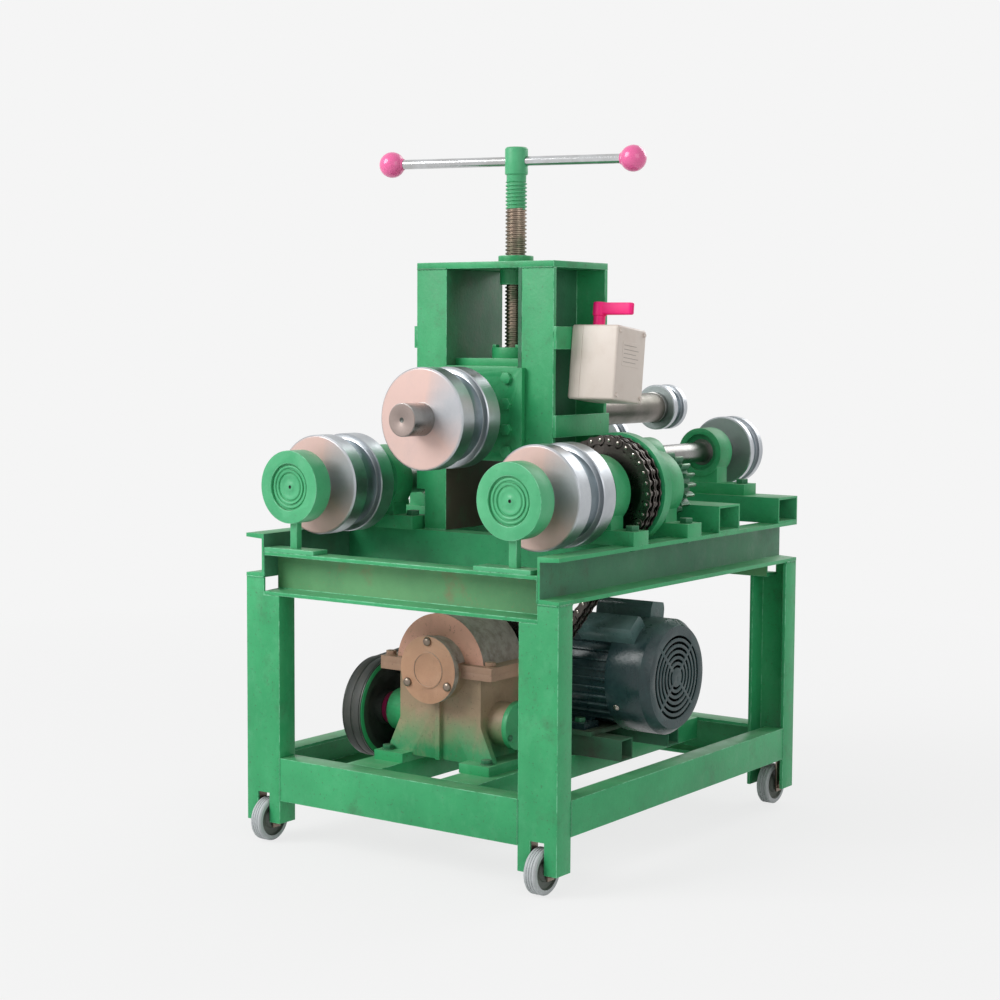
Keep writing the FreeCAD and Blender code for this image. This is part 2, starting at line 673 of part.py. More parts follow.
def sprocket(x, z, y_mid, bore, hub_r, hub0, hub1):
    """Duplex chain wheel; the tooth tips stay under the rollers of the chain."""
    tip = SPROCKET_R - ROLLER_R - AIR
    root = tip - 5.0
    pts = []
    for k in range(SPROCKET_TEETH):
        mid = 2 * math.pi * (k + 0.5) / SPROCKET_TEETH
        step = 2 * math.pi / SPROCKET_TEETH
        for r, part in ((root, -0.42), (tip, -0.16), (tip, 0.16), (root, 0.42)):
            t = mid + part * step
            pts.append(V(x + r * math.cos(t), 0, z + r * math.sin(t)))
    discs = []
    for side in (-1, 1):
        y0 = y_mid + side * STRAND_STEP / 2 - 5.0
        moved = [V(p.x, y0, p.z) for p in pts]
        discs.append(prism(moved, V(0, 10.0, 0)))
    hub = rod("y", hub_r, hub0, hub1, x, z)
    core = rod("y", root - 12, y_mid - 12, y_mid + 12, x, z)
    return fuse(discs + [hub, core]).cut(rod("y", bore, hub0 - 1, hub1 + 1, x, z))


def guard_wheel(x, z, y0, y1, r, bore):
    """Plain rimmed wheel behind the sprocket."""
    rim = ring("y", r, r - 8, y0, y1, x, z)
    web = ring("y", r - 4, bore, y1 - 8, y1, x, z)
    hub = ring("y", 40.0, bore, y0, y1, x, z)
    return fuse([rim, web, hub])


def build_drive_side():
    x = SHAFT_X
    hub0 = H1_Y[1] + 5
    guard0 = CHAIN_Y + SPROCKET_HALF
    guard1 = guard0 + GUARD_W
    wheel = sprocket(x, SHAFT_Z, CHAIN_Y, SHAFT_R, 40.0, hub0, guard0)
    add("right_sprocket", wheel.cut(sprocket_key()))
    add("right_sprocket", guard_wheel(x, SHAFT_Z, guard0, guard1, GUARD_R, SHAFT_R))
    front = collar(x, SHAFT_Z, SHAFT_R, COLLAR_R, MAIN_SEATS[1] + BEARING_W, hub0)
    back = collar(x, SHAFT_Z, SHAFT_R, COLLAR_R, guard1, MAIN_SEATS[2])
    add("right_shaft", front, back)


def rear_spindle(sx, side):
    x = sx * REAR_X
    y0 = REAR_ROLL_Y
    y1 = y0 + sum(REAR_ROLL_WIDTHS)
    small_seat = SMALL_Y[0] + SEAT_IN
    rear_seat = H3_Y[0] + SEAT_IN
    step_y = SMALL_Y[1] + AIR
    gear_key = key(x, REAR_Z, GEAR_SHAFT_R, GEAR_Y0 + 2, GEAR_Y1 - 2, 8)
    roll_key = key(x, REAR_Z, REAR_SHAFT_R, y0 + 4, y1 - 4, 10)
    steps = [(GEAR_SHAFT_R, GEAR_Y0 - 8, step_y), (REAR_SHAFT_R, step_y, y1 + 11)]
    shaft = stepped_shaft(x, REAR_Z, steps, 2.5)
    add("rear_%s_shaft" % side, drilled(shaft, [gear_key, roll_key]))
    roll = grooved_roll(x, REAR_Z, y0, REAR_ROLL_WIDTHS, REAR_ROLL_R, REAR_ROLL_R - 9, REAR_SHAFT_R)
    add("rear_%s_roll" % side, roll.cut(roll_key))
    wheel = gear(REAR_TEETH, PHASE["rear_" + side], x, REAR_Z, GEAR_Y0, GEAR_Y1, GEAR_SHAFT_R)
    add("rear_%s_shaft" % side, wheel.cut(gear_key))
    rings = [seated(GEAR_SHAFT_R, SMALL_RING[1], small_seat, x, REAR_Z)[1]]
    rings.append(seated(REAR_SHAFT_R, REAR_RING[1], rear_seat, x, REAR_Z)[1])
    rings.append(collar(x, REAR_Z, GEAR_SHAFT_R, 23.0, GEAR_Y1, small_seat))
    rings.append(collar(x, REAR_Z, REAR_SHAFT_R, 27.0, rear_seat + BEARING_W, y0))
    rings.append(collar(x, REAR_Z, REAR_SHAFT_R, 30.0, y1, y1 + 8))
    add("rear_%s_shaft" % side, *rings, gear_key, roll_key)


# ---------------------------------------------------------------- tower
def column(sx):
    """Tower column: web towards the window, flanges outward, notched low for the pillow feet."""
    post = channel("z", BENCH_TOP, TOWER_TOP, "x", sx * WIN_HALF, sx, "y", COL_Y0, COLUMN_CHANNEL)
    foot_x = SHAFT_X - MAIN_FOOT / 2 - 5
    cut = sorted((sx * foot_x, sx * (TOWER_HALF + 1)))
    return post.cut(box(cut[0], cut[1], COL_Y0 - 1, COL_Y1 + 1, BENCH_TOP - 1, NOTCH_TOP))


STRAPS = ((341.0, 382.0), (182.0, 222.0))      # straps across the columns, above the bench


def strap(sx, z0, z1):
    a = sorted((sx * TOWER_HALF, sx * (TOWER_HALF + STRAP_T)))
    return box(a[0], a[1], COL_Y0, COL_Y1, BENCH_TOP + z0, BENCH_TOP + z1)


def chain_passage():
    """Opening in the right column and its liner for the inner run of the chain."""
    y0 = CHAIN_Y - 26
    y1 = CHAIN_Y + 26
    return box(WIN_HALF - LINER_T - 1, WIN_HALF + 14, y0, y1, BENCH_TOP - 1, NOTCH_TOP)


NUT_R = 30.0


def build_tower():
    add("columns", column(-1), column(1).cut(chain_passage()))
    top = TOWER_TOP + PLATE_T
    plate = box(-TOWER_HALF, TOWER_HALF, COL_Y0, COL_Y1, TOWER_TOP, top)
    add("tower_plates", plate.cut(rod("z", NUT_R, TOWER_TOP - 1, top + 1, 0, SCREW_Y)))
    for sx in (-1, 1):
        add("tower_plates", *[strap(sx, z0, z1) for z0, z1 in STRAPS])
    liner = box(WIN_HALF - LINER_T, WIN_HALF, COL_Y0, COL_Y1, BENCH_TOP, TOWER_TOP)
    for z in (BENCH_TOP + 67, TOWER_TOP - 61):
        liner = liner.cut(rod("x", 5.0, WIN_HALF - LINER_T - 1, WIN_HALF + 1, TOWER_Y, z))
    add("guide_liner", liner.cut(chain_passage()))
    flange = ring("z", NUT_R + 3, SCREW_R + FIT, top, top + 14, 0, SCREW_Y)
    body = ring("z", NUT_R, SCREW_R + FIT, TOWER_TOP - 28, top, 0, SCREW_Y)
    add("screw_nut", fuse([flange, body]))


# ---------------------------------------------------------------- carriage
CAR_X0 = -WIN_HALF + SLIDE_GAP
CAR_X1 = WIN_HALF - LINER_T - SLIDE_GAP
CAR_Y0 = COL_Y0 - SLIDE_GAP
CAR_Y1 = COL_Y1 + SLIDE_GAP
CAR_Z0 = TOP_Z - 81.0
CAR_Z1 = TOP_Z + 92.0
WALL_T = 34.0            # front and rear walls that hold the bearings
CHEEK_T = 14.0
TOP_BORE = 55.0
TOP_BEARING_W = 22.0
TOP_SEATS = (CAR_Y0 + 2.0, CAR_Y1 - 2.0 - TOP_BEARING_W)
PASS_R = TOP_SHAFT_R + 6.0
KEEPER_T = 12.0
KEEPER_X = WIN_HALF + 10.0
BOLT_X = WIN_HALF - 22.0
BOLT_STEPS = (-63.0, -23.0, 24.0, 71.0)        # keeper bolts from the axis of the top shaft


def carriage_body():
    """Welded slide box: two bearing walls, two sides, open below and at the middle."""
    walls = [box(CAR_X0, CAR_X1, CAR_Y0, CAR_Y0 + WALL_T, CAR_Z0, CAR_Z1)]
    walls.append(box(CAR_X0, CAR_X1, CAR_Y1 - WALL_T, CAR_Y1, CAR_Z0, CAR_Z1))
    walls.append(box(CAR_X0, CAR_X0 + CHEEK_T, CAR_Y0, CAR_Y1, CAR_Z0, CAR_Z1))
    walls.append(box(CAR_X1 - CHEEK_T, CAR_X1, CAR_Y0, CAR_Y1, CAR_Z0, CAR_Z1))
    shape = fuse(walls)
    shape = shape.cut(rod("y", PASS_R, CAR_Y0 - 1, CAR_Y1 + 1, 0, TOP_Z))
    shape = shape.cut(rod("y", TOP_BORE, CAR_Y0 - 1, TOP_SEATS[0] + TOP_BEARING_W, 0, TOP_Z))
    shape = shape.cut(rod("y", TOP_BORE, TOP_SEATS[1], CAR_Y1 + 1, 0, TOP_Z))
    for x, z in carriage_bolt_spots():
        shape = shape.cut(rod("y", 6.0, CAR_Y0 - 1, CAR_Y0 + 20, x, z))
        shape = shape.cut(rod("y", 6.0, CAR_Y1 - 20, CAR_Y1 + 1, x, z))
    return shape


def carriage_bolt_spots():
    return [(sx * BOLT_X, TOP_Z + step) for sx in (-1, 1) for step in BOLT_STEPS]


def keeper(y0, y1):
    plate = box(-KEEPER_X, KEEPER_X, y0, y1, CAR_Z0, CAR_Z1 - 2)
    plate = plate.cut(rod("y", PASS_R, y0 - 1, y1 + 1, 0, TOP_Z))
    for x, z in carriage_bolt_spots():
        plate = plate.cut(rod("y", 6.0, y0 - 1, y1 + 1, x, z))
    return plate


SCREW_SEAT = CAR_Z1 + 14.0
THRUST_R = 28.0
THRUST_H = 12.0
JOURNAL_R = 13.5
RETAINER_H = 20.0


def carriage_top():
    plate = box(CAR_X0, CAR_X1, CAR_Y0 + 28, CAR_Y1 - 6, CAR_Z1, SCREW_SEAT)
    return plate.cut(rod("z", JOURNAL_R + 0.5, CAR_Z1 - 1, SCREW_SEAT + 1, 0, SCREW_Y))


def retainer_spots():
    """Centres of the four screws of the retainer round the screw's thrust collar."""
    turns = [math.radians(45 + 90 * k) for k in range(4)]
    reach = THRUST_R + 8.5
    return [(reach * math.cos(t), SCREW_Y + reach * math.sin(t)) for t in turns]


def screw_retainer():
    top = SCREW_SEAT + RETAINER_H
    body = ring("z", THRUST_R + 16, SCREW_R + FIT, SCREW_SEAT, top, 0, SCREW_Y)
    body = body.cut(rod("z", THRUST_R + 1, SCREW_SEAT - 1, SCREW_SEAT + THRUST_H, 0, SCREW_Y))
    for x, y in retainer_spots():
        body = body.cut(rod("z", 4.0, SCREW_SEAT - 1, top + 1, x, y))
    return body


def build_carriage():
    add("carriage_body", carriage_body())
    front = keeper(CAR_Y0 - KEEPER_T, CAR_Y0)
    rear = keeper(CAR_Y1, CAR_Y1 + KEEPER_T)
    add("carriage_keepers", front, rear)
    add("carriage_body", carriage_top())
    bolts = []
    for x, z in carriage_bolt_spots():
        bolts.append(bolt("y", 12.0, CAR_Y0 - KEEPER_T, -1, x, z, KEEPER_T + 18))
        bolts.append(bolt("y", 12.0, CAR_Y1 + KEEPER_T, 1, x, z, KEEPER_T + 18))
    for x, y in retainer_spots():
        bolts.append(bolt("z", 8.0, SCREW_SEAT + RETAINER_H, 1, x, y, RETAINER_H))
    add("carriage_hardware", *bolts)
    add("carriage_keepers", screw_retainer())
    for seat in TOP_SEATS:
        outer, inner = bearing("y", TOP_SHAFT_R, TOP_BORE, seat, seat + TOP_BEARING_W, 0, TOP_Z)
        add("carriage_hardware", outer)
        add("top_shaft", inner)


def build_top_spindle():
    y0 = TOP_ROLL_Y
    y1 = y0 + sum(ROLL_WIDTHS)
    rear0 = REAR_TOP_ROLL_Y
    rear1 = rear0 + sum(REAR_TOP_ROLL_WIDTHS)
    step_y = CAR_Y1 + 30
    roll_key = key(0, TOP_Z, TOP_SHAFT_R, y0 + KEY_IN, y1 - KEY_IN, 16)
    rear_key = key(0, TOP_Z, SHAFT_R, rear0 + 6, rear1 - 6, 12)
    steps = [(TOP_NOSE_R, TOP_SHAFT_FRONT, y0), (TOP_SHAFT_R, y0, step_y)]
    steps.append((SHAFT_R, step_y, TOP_SHAFT_END))
    shaft = stepped_shaft(0, TOP_Z, steps, 3.5)
    add("top_shaft", drilled(shaft, [roll_key, rear_key]))
    roll = grooved_roll(0, TOP_Z, y0, ROLL_WIDTHS, ROLL_R, ROLL_R - GROOVE_DEPTH, TOP_SHAFT_R)
    add("top_rolls", roll.cut(roll_key))
    groove_r = REAR_TOP_ROLL_R - 8
    rear = grooved_roll(0, TOP_Z, rear0, REAR_TOP_ROLL_WIDTHS, REAR_TOP_ROLL_R, groove_r, SHAFT_R)
    add("top_rolls", rear.cut(rear_key))
    add("top_shaft", roll_key, rear_key)
    r = TOP_SHAFT_R + 4.5
    front = collar(0, TOP_Z, TOP_SHAFT_R, r, y1, TOP_SEATS[0])
    back = collar(0, TOP_Z, TOP_SHAFT_R, r, TOP_SEATS[1] + TOP_BEARING_W, step_y - 4)
    end = collar(0, TOP_Z, SHAFT_R, COLLAR_R, rear1, rear1 + 7)
    stop = collar(0, TOP_Z, SHAFT_R, COLLAR_R, rear0 - 13, rear0)
    add("top_shaft", front, back, end, stop)


# ---------------------------------------------------------------- screw and handle
def build_screw():
    thread_top = BAR_Z - 38
    hub_low = BAR_Z - 25
    steel = [rod("z", THRUST_R, SCREW_SEAT + 0.2, SCREW_SEAT + THRUST_H - AIR, 0, SCREW_Y)]
    steel.append(rod("z", SCREW_R, SCREW_SEAT + THRUST_H - 1, thread_top, 0, SCREW_Y))
    steel.append(rod("z", JOURNAL_R, CAR_Z1 - 8, SCREW_SEAT + 5, 0, SCREW_Y))
    steel.append(rod("z", SCREW_R - 1.5, thread_top, hub_low, 0, SCREW_Y))
    add("screw", fuse(steel))
    hub = rod("z", HUB_R, hub_low, BAR_Z + 26, 0, SCREW_Y)
    hub = hub.cut(turn_bar(rod("x", BAR_R + FIT, -40, 40, SCREW_Y, BAR_Z)))
    add("screw", hub)
    mid = BAR_SLIP
    bar = rod("x", BAR_R, mid - BAR_HALF - 8, mid + BAR_HALF + 8, SCREW_Y, BAR_Z)
    add("handle_bar", turn_bar(bar))
    balls = []
    for side in (-1, 1):
        ball = Part.makeSphere(BALL_R, V(mid + side * BAR_HALF, SCREW_Y, BAR_Z))
        balls.append(turn_bar(ball.cut(bar)))
    add("handle_bar", *balls)


def turn_bar(shape):
    out = shape.copy()
    out.rotate(V(0, SCREW_Y, 0), V(0, 0, 1), BAR_ANGLE)
    return out


# ---------------------------------------------------------------- switch
BOX_SIZE = (100.0, 98.0, 135.0)
BOX_MID = V(TOWER_HALF + STRAP_T + BOX_SIZE[0] / 2, TOWER_Y + 1.5, BENCH_TOP + 313.5)


def lean(shape):
    out = shape.copy()
    out.rotate(BOX_MID, V(1, 0, 0), BOX_TILT)
    return out


def build_switch():
    x0 = BOX_MID.x - BOX_SIZE[0] / 2
    x1 = BOX_MID.x + BOX_SIZE[0] / 2
    y0 = BOX_MID.y - BOX_SIZE[1] / 2
    y1 = BOX_MID.y + BOX_SIZE[1] / 2
    z0 = BOX_MID.z - BOX_SIZE[2] / 2
    z1 = BOX_MID.z + BOX_SIZE[2] / 2
    ax = BOX_MID.x - 18
    ay = BOX_MID.y - 8
    add("switch_base", lean(box(x0, x0 + 6, y0 + 3.2, y1 - 3.2, z0 + 3.2, z1 - 3.2)))
    shell = box(x0, x1, y0, y1, z0, z1).cut(box(x0 - 1, x1 - 3, y0 + 3, y1 - 3, z0 + 3, z1 - 3))
    shell = shell.cut(rod("z", 11 + AIR, z1 - 4, z1 + 1, ax, ay))
    screws = []
    for sy in (-1, 1):
        for sz in (-1, 1):
            y = BOX_MID.y + sy * (BOX_SIZE[1] / 2 - 9)
            z = BOX_MID.z + sz * (BOX_SIZE[2] / 2 - 9.5)
            head = rod("x", 4.0, x1, x1 + 2.5, y, z)
            screws.append(head.fuse(rod("x", 2.0, x1 - 3, x1, y, z)))
    add("switch_cover", lean(drilled(shell, screws)))
    add("switch_base", *[lean(s) for s in screws])
    drum = fuse([rod("z", 20.0, z0 + 20, z1 - 20, ax, ay), rod("z", 7.0, z0 + 8, z1, ax, ay)])
    contacts = box(x0 + 6, ax - 21, ay - 28, ay + 28, z0 + 22, z1 - 22)
    bottom = box(x0 + 6, ax + 14, ay - 14, ay + 14, z0 + 5, z0 + 12)
    bottom = bottom.cut(rod("z", 7 + FIT, z0 + 7.5, z0 + 13, ax, ay))
    add("switch_base", lean(contacts), lean(bottom))
    add("switch_lever", lean(drum))
    stem = rod("z", 11.0, z1 - 6, z1 + 44, ax, ay).cut(rod("z", 7.0, z1 - 7, z1, ax, ay))
    head = rod("z", 13.0, z1 + 24, z1 + 45, ax, ay)
    arm = box(ax, ax + 78, ay - 9, ay + 9, z1 + 25, z1 + 44)
    add("switch_lever", lean(fuse([stem, head, arm])))


# ---------------------------------------------------------------- chain
def loop_frame(ax, az, bx, bz, r):
    """Unit vectors of the open loop round two equal wheels: along the centres and to the right."""
    length = math.hypot(bx - ax, bz - az)
    return length, (bx - ax) / length, (bz - az) / length


def chain_points(ax, az, bx, bz, r, count):
    """Pin centres spaced evenly along the loop that runs round both equal wheels."""
    length, ux, uz = loop_frame(ax, az, bx, bz, r)
    nx, nz = uz, -ux
    total = 2 * length + 2 * math.pi * r
    pts = []
    for k in range(count):
        s = total * k / count
        if s < length:
            pts.append((ax + nx * r + ux * s, az + nz * r + uz * s))
            continue
        s -= length
        if s < math.pi * r:
            t = s / r
            pts.append((bx + r * (nx * math.cos(t) + ux * math.sin(t)),
                        bz + r * (nz * math.cos(t) + uz * math.sin(t))))
            continue
        s -= math.pi * r
        if s < length:
            pts.append((bx - nx * r - ux * s, bz - nz * r - uz * s))
            continue
        t = (s - length) / r
        pts.append((ax - r * (nx * math.cos(t) + ux * math.sin(t)),
                    az - r * (nz * math.cos(t) + uz * math.sin(t))))
    return pts


def link_plate(p, q, y0, t, h):
    """Chain plate: straight sides with round ends on two pins."""
    dx, dz = q[0] - p[0], q[1] - p[1]
    n = math.hypot(dx, dz)
    ux, uz = dx / n, dz / n
    r = h / 2
    a = V(p[0] - uz * r, y0, p[1] + ux * r)
    b = V(q[0] - uz * r, y0, q[1] + ux * r)
    c = V(q[0] + uz * r, y0, q[1] - ux * r)
    d = V(p[0] + uz * r, y0, p[1] - ux * r)
    e = V(q[0] + ux * r, y0, q[1] + uz * r)
    f = V(p[0] - ux * r, y0, p[1] - uz * r)
    edges = [Part.makeLine(a, b), Part.Arc(b, e, c).toShape()]
    edges += [Part.makeLine(c, d), Part.Arc(d, f, a).toShape()]
    return Part.Face(Part.Wire(edges)).extrude(V(0, t, 0))


def build_chain():
    ax, az = REDUCER_X, WHEEL_AXIS_Z
    bx, bz = SHAFT_X, SHAFT_Z
    length = loop_frame(ax, az, bx, bz, SPROCKET_R)[0]
    total = 2 * length + 2 * math.pi * SPROCKET_R
    count = 2 * round(total / PITCH / 2)
    pts = chain_points(ax, az, bx, bz, SPROCKET_R + 0.2, count)
    solids = []
    for k in range(count):
        p = pts[k]
        q = pts[(k + 1) % count]
        solids.append(rod("y", ROLLER_R, CHAIN_Y - 21, CHAIN_Y + 21, p[0], p[1]))
        gap = 8.3 if k % 2 else 6.2
        for side in (-1, 1):
            mid = CHAIN_Y + side * STRAND_STEP / 2
            for way in (-1, 1):
                y0 = mid + way * gap - 0.95
                solids.append(link_plate(p, q, y0, 1.9, PLATE_H))
    add("drive_chain", solids[0].multiFuse(solids[1:]))


# ---------------------------------------------------------------- reducer
GEARBOX_X = 91.0         # half width and half depth of the case
GEARBOX_Y = 60.0
GEARBOX_WALL = 8.0
HOOD_R = 98.0
BOSS_Y = 85.0            # output bearing bosses from the middle
WORM_END = 125.0         # right end of the worm tube from the middle
LUG_X = 112.0            # split and foot bolts from the middle
LUG_Y = 60.0
FOOT_BOLT_Y = 70.0
GEARBOX_FOOT_T = 17.5
CAP_R = 61.0
CAP_T = 10.0


def reducer_casting():
    x, y, z = REDUCER_X, REDUCER_Y, WHEEL_AXIS_Z
    foot = RAIL_TOP + GEARBOX_FOOT_T
    wide, deep, wall = GEARBOX_X, GEARBOX_Y, GEARBOX_WALL
    parts = [box(x - wide, x + wide, y - deep, y + deep, foot - 6, z)]
    drum = rod("y", HOOD_R, y - deep, y + deep, x, z)
    parts.append(drum.common(box(x - HOOD_R, x + HOOD_R, y - deep, y + deep, z, z + HOOD_R + 1)))
    parts.append(rod("y", 58.0, y - BOSS_Y, y + BOSS_Y, x, z))
    parts.append(box(x - WORM_END, x + WORM_END, y - 75, y + 75, z - 12, z + 12))
    parts.append(rod("x", 40.0, x - WORM_END - 12, x + WORM_END, y, WORM_AXIS_Z))
    for sx in (-1, 1):
        a = sorted((x + sx * 64, x + sx * 130))
        parts.append(box(a[0], a[1], y - 88, y + 88, RAIL_TOP, foot))
        for yy in (y - deep, y + deep - 12):
            pts = [V(x + sx * wide, yy, WORM_AXIS_Z), V(x + sx * wide, yy, foot - 1)]
            pts.append(V(x + sx * 120, yy, foot - 1))
            parts.append(prism(pts, V(0, 12, 0)))
    parts.append(box(x - 5, x + 5, y - deep - 8, y - deep + 1, foot - 6, z - 60))
    shape = fuse(parts)
    inner = (x - wide + wall, x + wide - wall, y - deep + wall, y + deep - wall)
    shape = shape.cut(box(*inner, foot + 4, z))
    shape = shape.cut(rod("y", HOOD_R - 10, y - deep + wall, y + deep - wall, x, z))
    shape = shape.cut(rod("y", RING_BORE, y - BOSS_Y - 1, y + BOSS_Y + 1, x, z))
    shape = shape.cut(rod("x", 31.0, x - WORM_END - 13, x + WORM_END + 1, y, WORM_AXIS_Z))
    for sx in (-1, 1):
        for sy in (-1, 1):
            u = x + sx * LUG_X
            shape = shape.cut(rod("z", 6.5, RAIL_TOP - 1, foot + 1, u, y + sy * FOOT_BOLT_Y))
            shape = shape.cut(rod("z", 5.0, z - 13, z + 13, u, y + sy * LUG_Y))
    return shape


WORM_SHAFT_R = 15.0


def cap_screws(x, y, z):
    """Three screws round each bearing cap of the reducer."""
    screws = []
    for k in range(3):
        t = math.radians(90 + 120 * k)
        u = x + 51.5 * math.cos(t)
        v = z + 51.5 * math.sin(t)
        screws.append(bolt("y", 8.0, y - BOSS_Y - CAP_T - 2, -1, u, v, CAP_T + 12))
        screws.append(bolt("y", 8.0, y + BOSS_Y + CAP_T, 1, u, v, CAP_T + 10))
        w = WORM_AXIS_Z + 36 * math.sin(t)
        screws.append(bolt("x", 6.0, x + WORM_END + CAP_T, 1, y + 36 * math.cos(t), w, CAP_T))
    return screws


def build_reducer():
    x, y, z = REDUCER_X, REDUCER_Y, WHEEL_AXIS_Z
    screws = cap_screws(x, y, z)
    casting = drilled(reducer_casting(), screws)
    add("reducer_base", casting.common(box(x - 200, x + 200, y - 200, y + 200, 100, z)))
    add("reducer_hood", casting.common(box(x - 200, x + 200, y - 200, y + 200, z, z + 200)))
    bolts = []
    for sx in (-1, 1):
        for sy in (-1, 1):
            u = x + sx * LUG_X
            foot = RAIL_TOP + GEARBOX_FOOT_T
            bolts.append(bolt("z", 10.0, z + 12, 1, u, y + sy * LUG_Y, 24))
            bolts.append(bolt("z", 12.0, foot, 1, u, y + sy * FOOT_BOLT_Y, GEARBOX_FOOT_T))
    skin = y - BOSS_Y - CAP_T - 2
    front = fuse([rod("y", CAP_R, skin, y - BOSS_Y, x, z),
                  ring("y", 33.0, 30.0, skin - 1.5, skin + 1, x, z),
                  rod("y", RING_BORE - 0.2, y - BOSS_Y, y - BOSS_Y + 4, x, z)])
    rear = ring("y", CAP_R, SHAFT_R + AIR, y + BOSS_Y, y + BOSS_Y + CAP_T, x, z)
    side = rod("x", 44.0, x + WORM_END, x + WORM_END + CAP_T, y, WORM_AXIS_Z)
    a = x - WORM_END - 12
    left = ring("x", 39.0, WORM_SHAFT_R + AIR, a - 4, a, y, WORM_AXIS_Z)
    add("reducer_caps", drilled(front, screws), drilled(rear, screws), drilled(side, screws), left)
    add("reducer_bolts", *bolts, *screws)


WORM_TEETH = 40
WORM_R = 20.0
WORM_STEP = 12.57        # pitch of the worm's threads
WORM_WHEEL_W = 32.0


def build_reducer_insides():
    x, y, z = REDUCER_X, REDUCER_Y, WHEEL_AXIS_Z
    half = SPROCKET_HALF
    seats = (y - 81, y + 61)
    shaft = rod("y", SHAFT_R, y - 80, CHAIN_Y + half, x, z)
    wheel_key = key(x, z, SHAFT_R, y - 14, y + 14, 14)
    out_key = key(x, z, SHAFT_R, CHAIN_Y - half + 2, CHAIN_Y + half - 2, 14)
    add("output_shaft", drilled(shaft, [wheel_key, out_key]))
    add("output_shaft", wheel_key, out_key)
    tip = WORM_DROP - WORM_R - AIR
    root = tip - 7.7
    half = WORM_WHEEL_W / 2
    pts = []
    for k in range(WORM_TEETH):
        for r, part in ((root, -0.36), (tip, -0.14), (tip, 0.14), (root, 0.36)):
            t = 2 * math.pi * (k + part) / WORM_TEETH
            pts.append(V(x + r * math.cos(t), y - half, z + r * math.sin(t)))
    worm_wheel = prism(pts, V(0, WORM_WHEEL_W, 0)).cut(rod("y", SHAFT_R, y - 17, y + 17, x, z))
    add("output_wheels", worm_wheel.cut(wheel_key))
    hub0 = CHAIN_Y - SPROCKET_HALF
    small = sprocket(x, z, CHAIN_Y, SHAFT_R, 40.0, hub0, CHAIN_Y + SPROCKET_HALF)
    add("output_wheels", small.cut(out_key))
    for seat in seats:
        outer, inner = seated(SHAFT_R, RING_BORE, seat, x, z)
        add("bearing_rings", outer)
        add("output_shaft", inner)
    add("output_shaft", collar(x, z, SHAFT_R, 31.0, seats[0] + BEARING_W, y - half))
    add("output_shaft", collar(x, z, SHAFT_R, 31.0, y + half, seats[1]))
    end = x + WORM_END - 4
    worm = [rod("x", WORM_SHAFT_R, PULLEY_X0 - 2, end, y, WORM_AXIS_Z)]
    worm.append(rod("x", WORM_SHAFT_R + 1.5, x - 50, x + 50, y, WORM_AXIS_Z))
    low = WORM_SHAFT_R + 1
    for k in range(7):
        a = x - 41 + WORM_STEP * k
        rim = [(low, a), (WORM_R, a + 2.2), (WORM_R, a + 4.4), (low, a + 6.6)]
        worm.append(turned([(0.5, a), *rim, (0.5, a + 6.6)], "x", y, WORM_AXIS_Z))
    worm_key = pulley_key(y, WORM_AXIS_Z, WORM_SHAFT_R)
    add("worm_shaft", fuse(worm).cut(worm_key))
    add("worm_shaft", worm_key)
    for a in (x - WORM_END - 8, end - 16):
        outer, inner = bearing("x", WORM_SHAFT_R, 31.0, a, a + 16, y, WORM_AXIS_Z)
        add("bearing_rings", outer)
        add("worm_shaft", inner)
    big = pulley(BIG_PULLEY_R, WORM_SHAFT_R, y, WORM_AXIS_Z, True)
    add("big_pulley", big.cut(worm_key))


def pulley_key(y, z, shaft_r):
    return box(PULLEY_X0 + 2, PULLEY_X0 + PULLEY_W - 2, y - 4, y + 4, z + shaft_r - 4, z + shaft_r + 3)


# ---------------------------------------------------------------- belt drive
def groove_spots():
    mid = PULLEY_X0 + PULLEY_W / 2
    return (mid - BELT_STEP / 2, mid + BELT_STEP / 2)


def pulley(r, bore, y, z, dished):
    """Two groove V pulley, with a dished web on the large size."""
    x0 = PULLEY_X0
    pts = [(bore, x0), (r, x0)]
    for g in groove_spots():
        pts += [(r, g - 8.6), (r - 14, g - 4.6), (r - 14, g + 4.6), (r, g + 8.6)]
    pts += [(r, x0 + PULLEY_W), (bore, x0 + PULLEY_W)]
    shape = turned(pts, "x", y, z)
    if dished:
        for a0, a1 in ((x0 - 1, x0 + 13), (x0 + 27, x0 + PULLEY_W + 1)):
            shape = shape.cut(ring("x", r - 24, 32.0, a0, a1, y, z))
    return shape


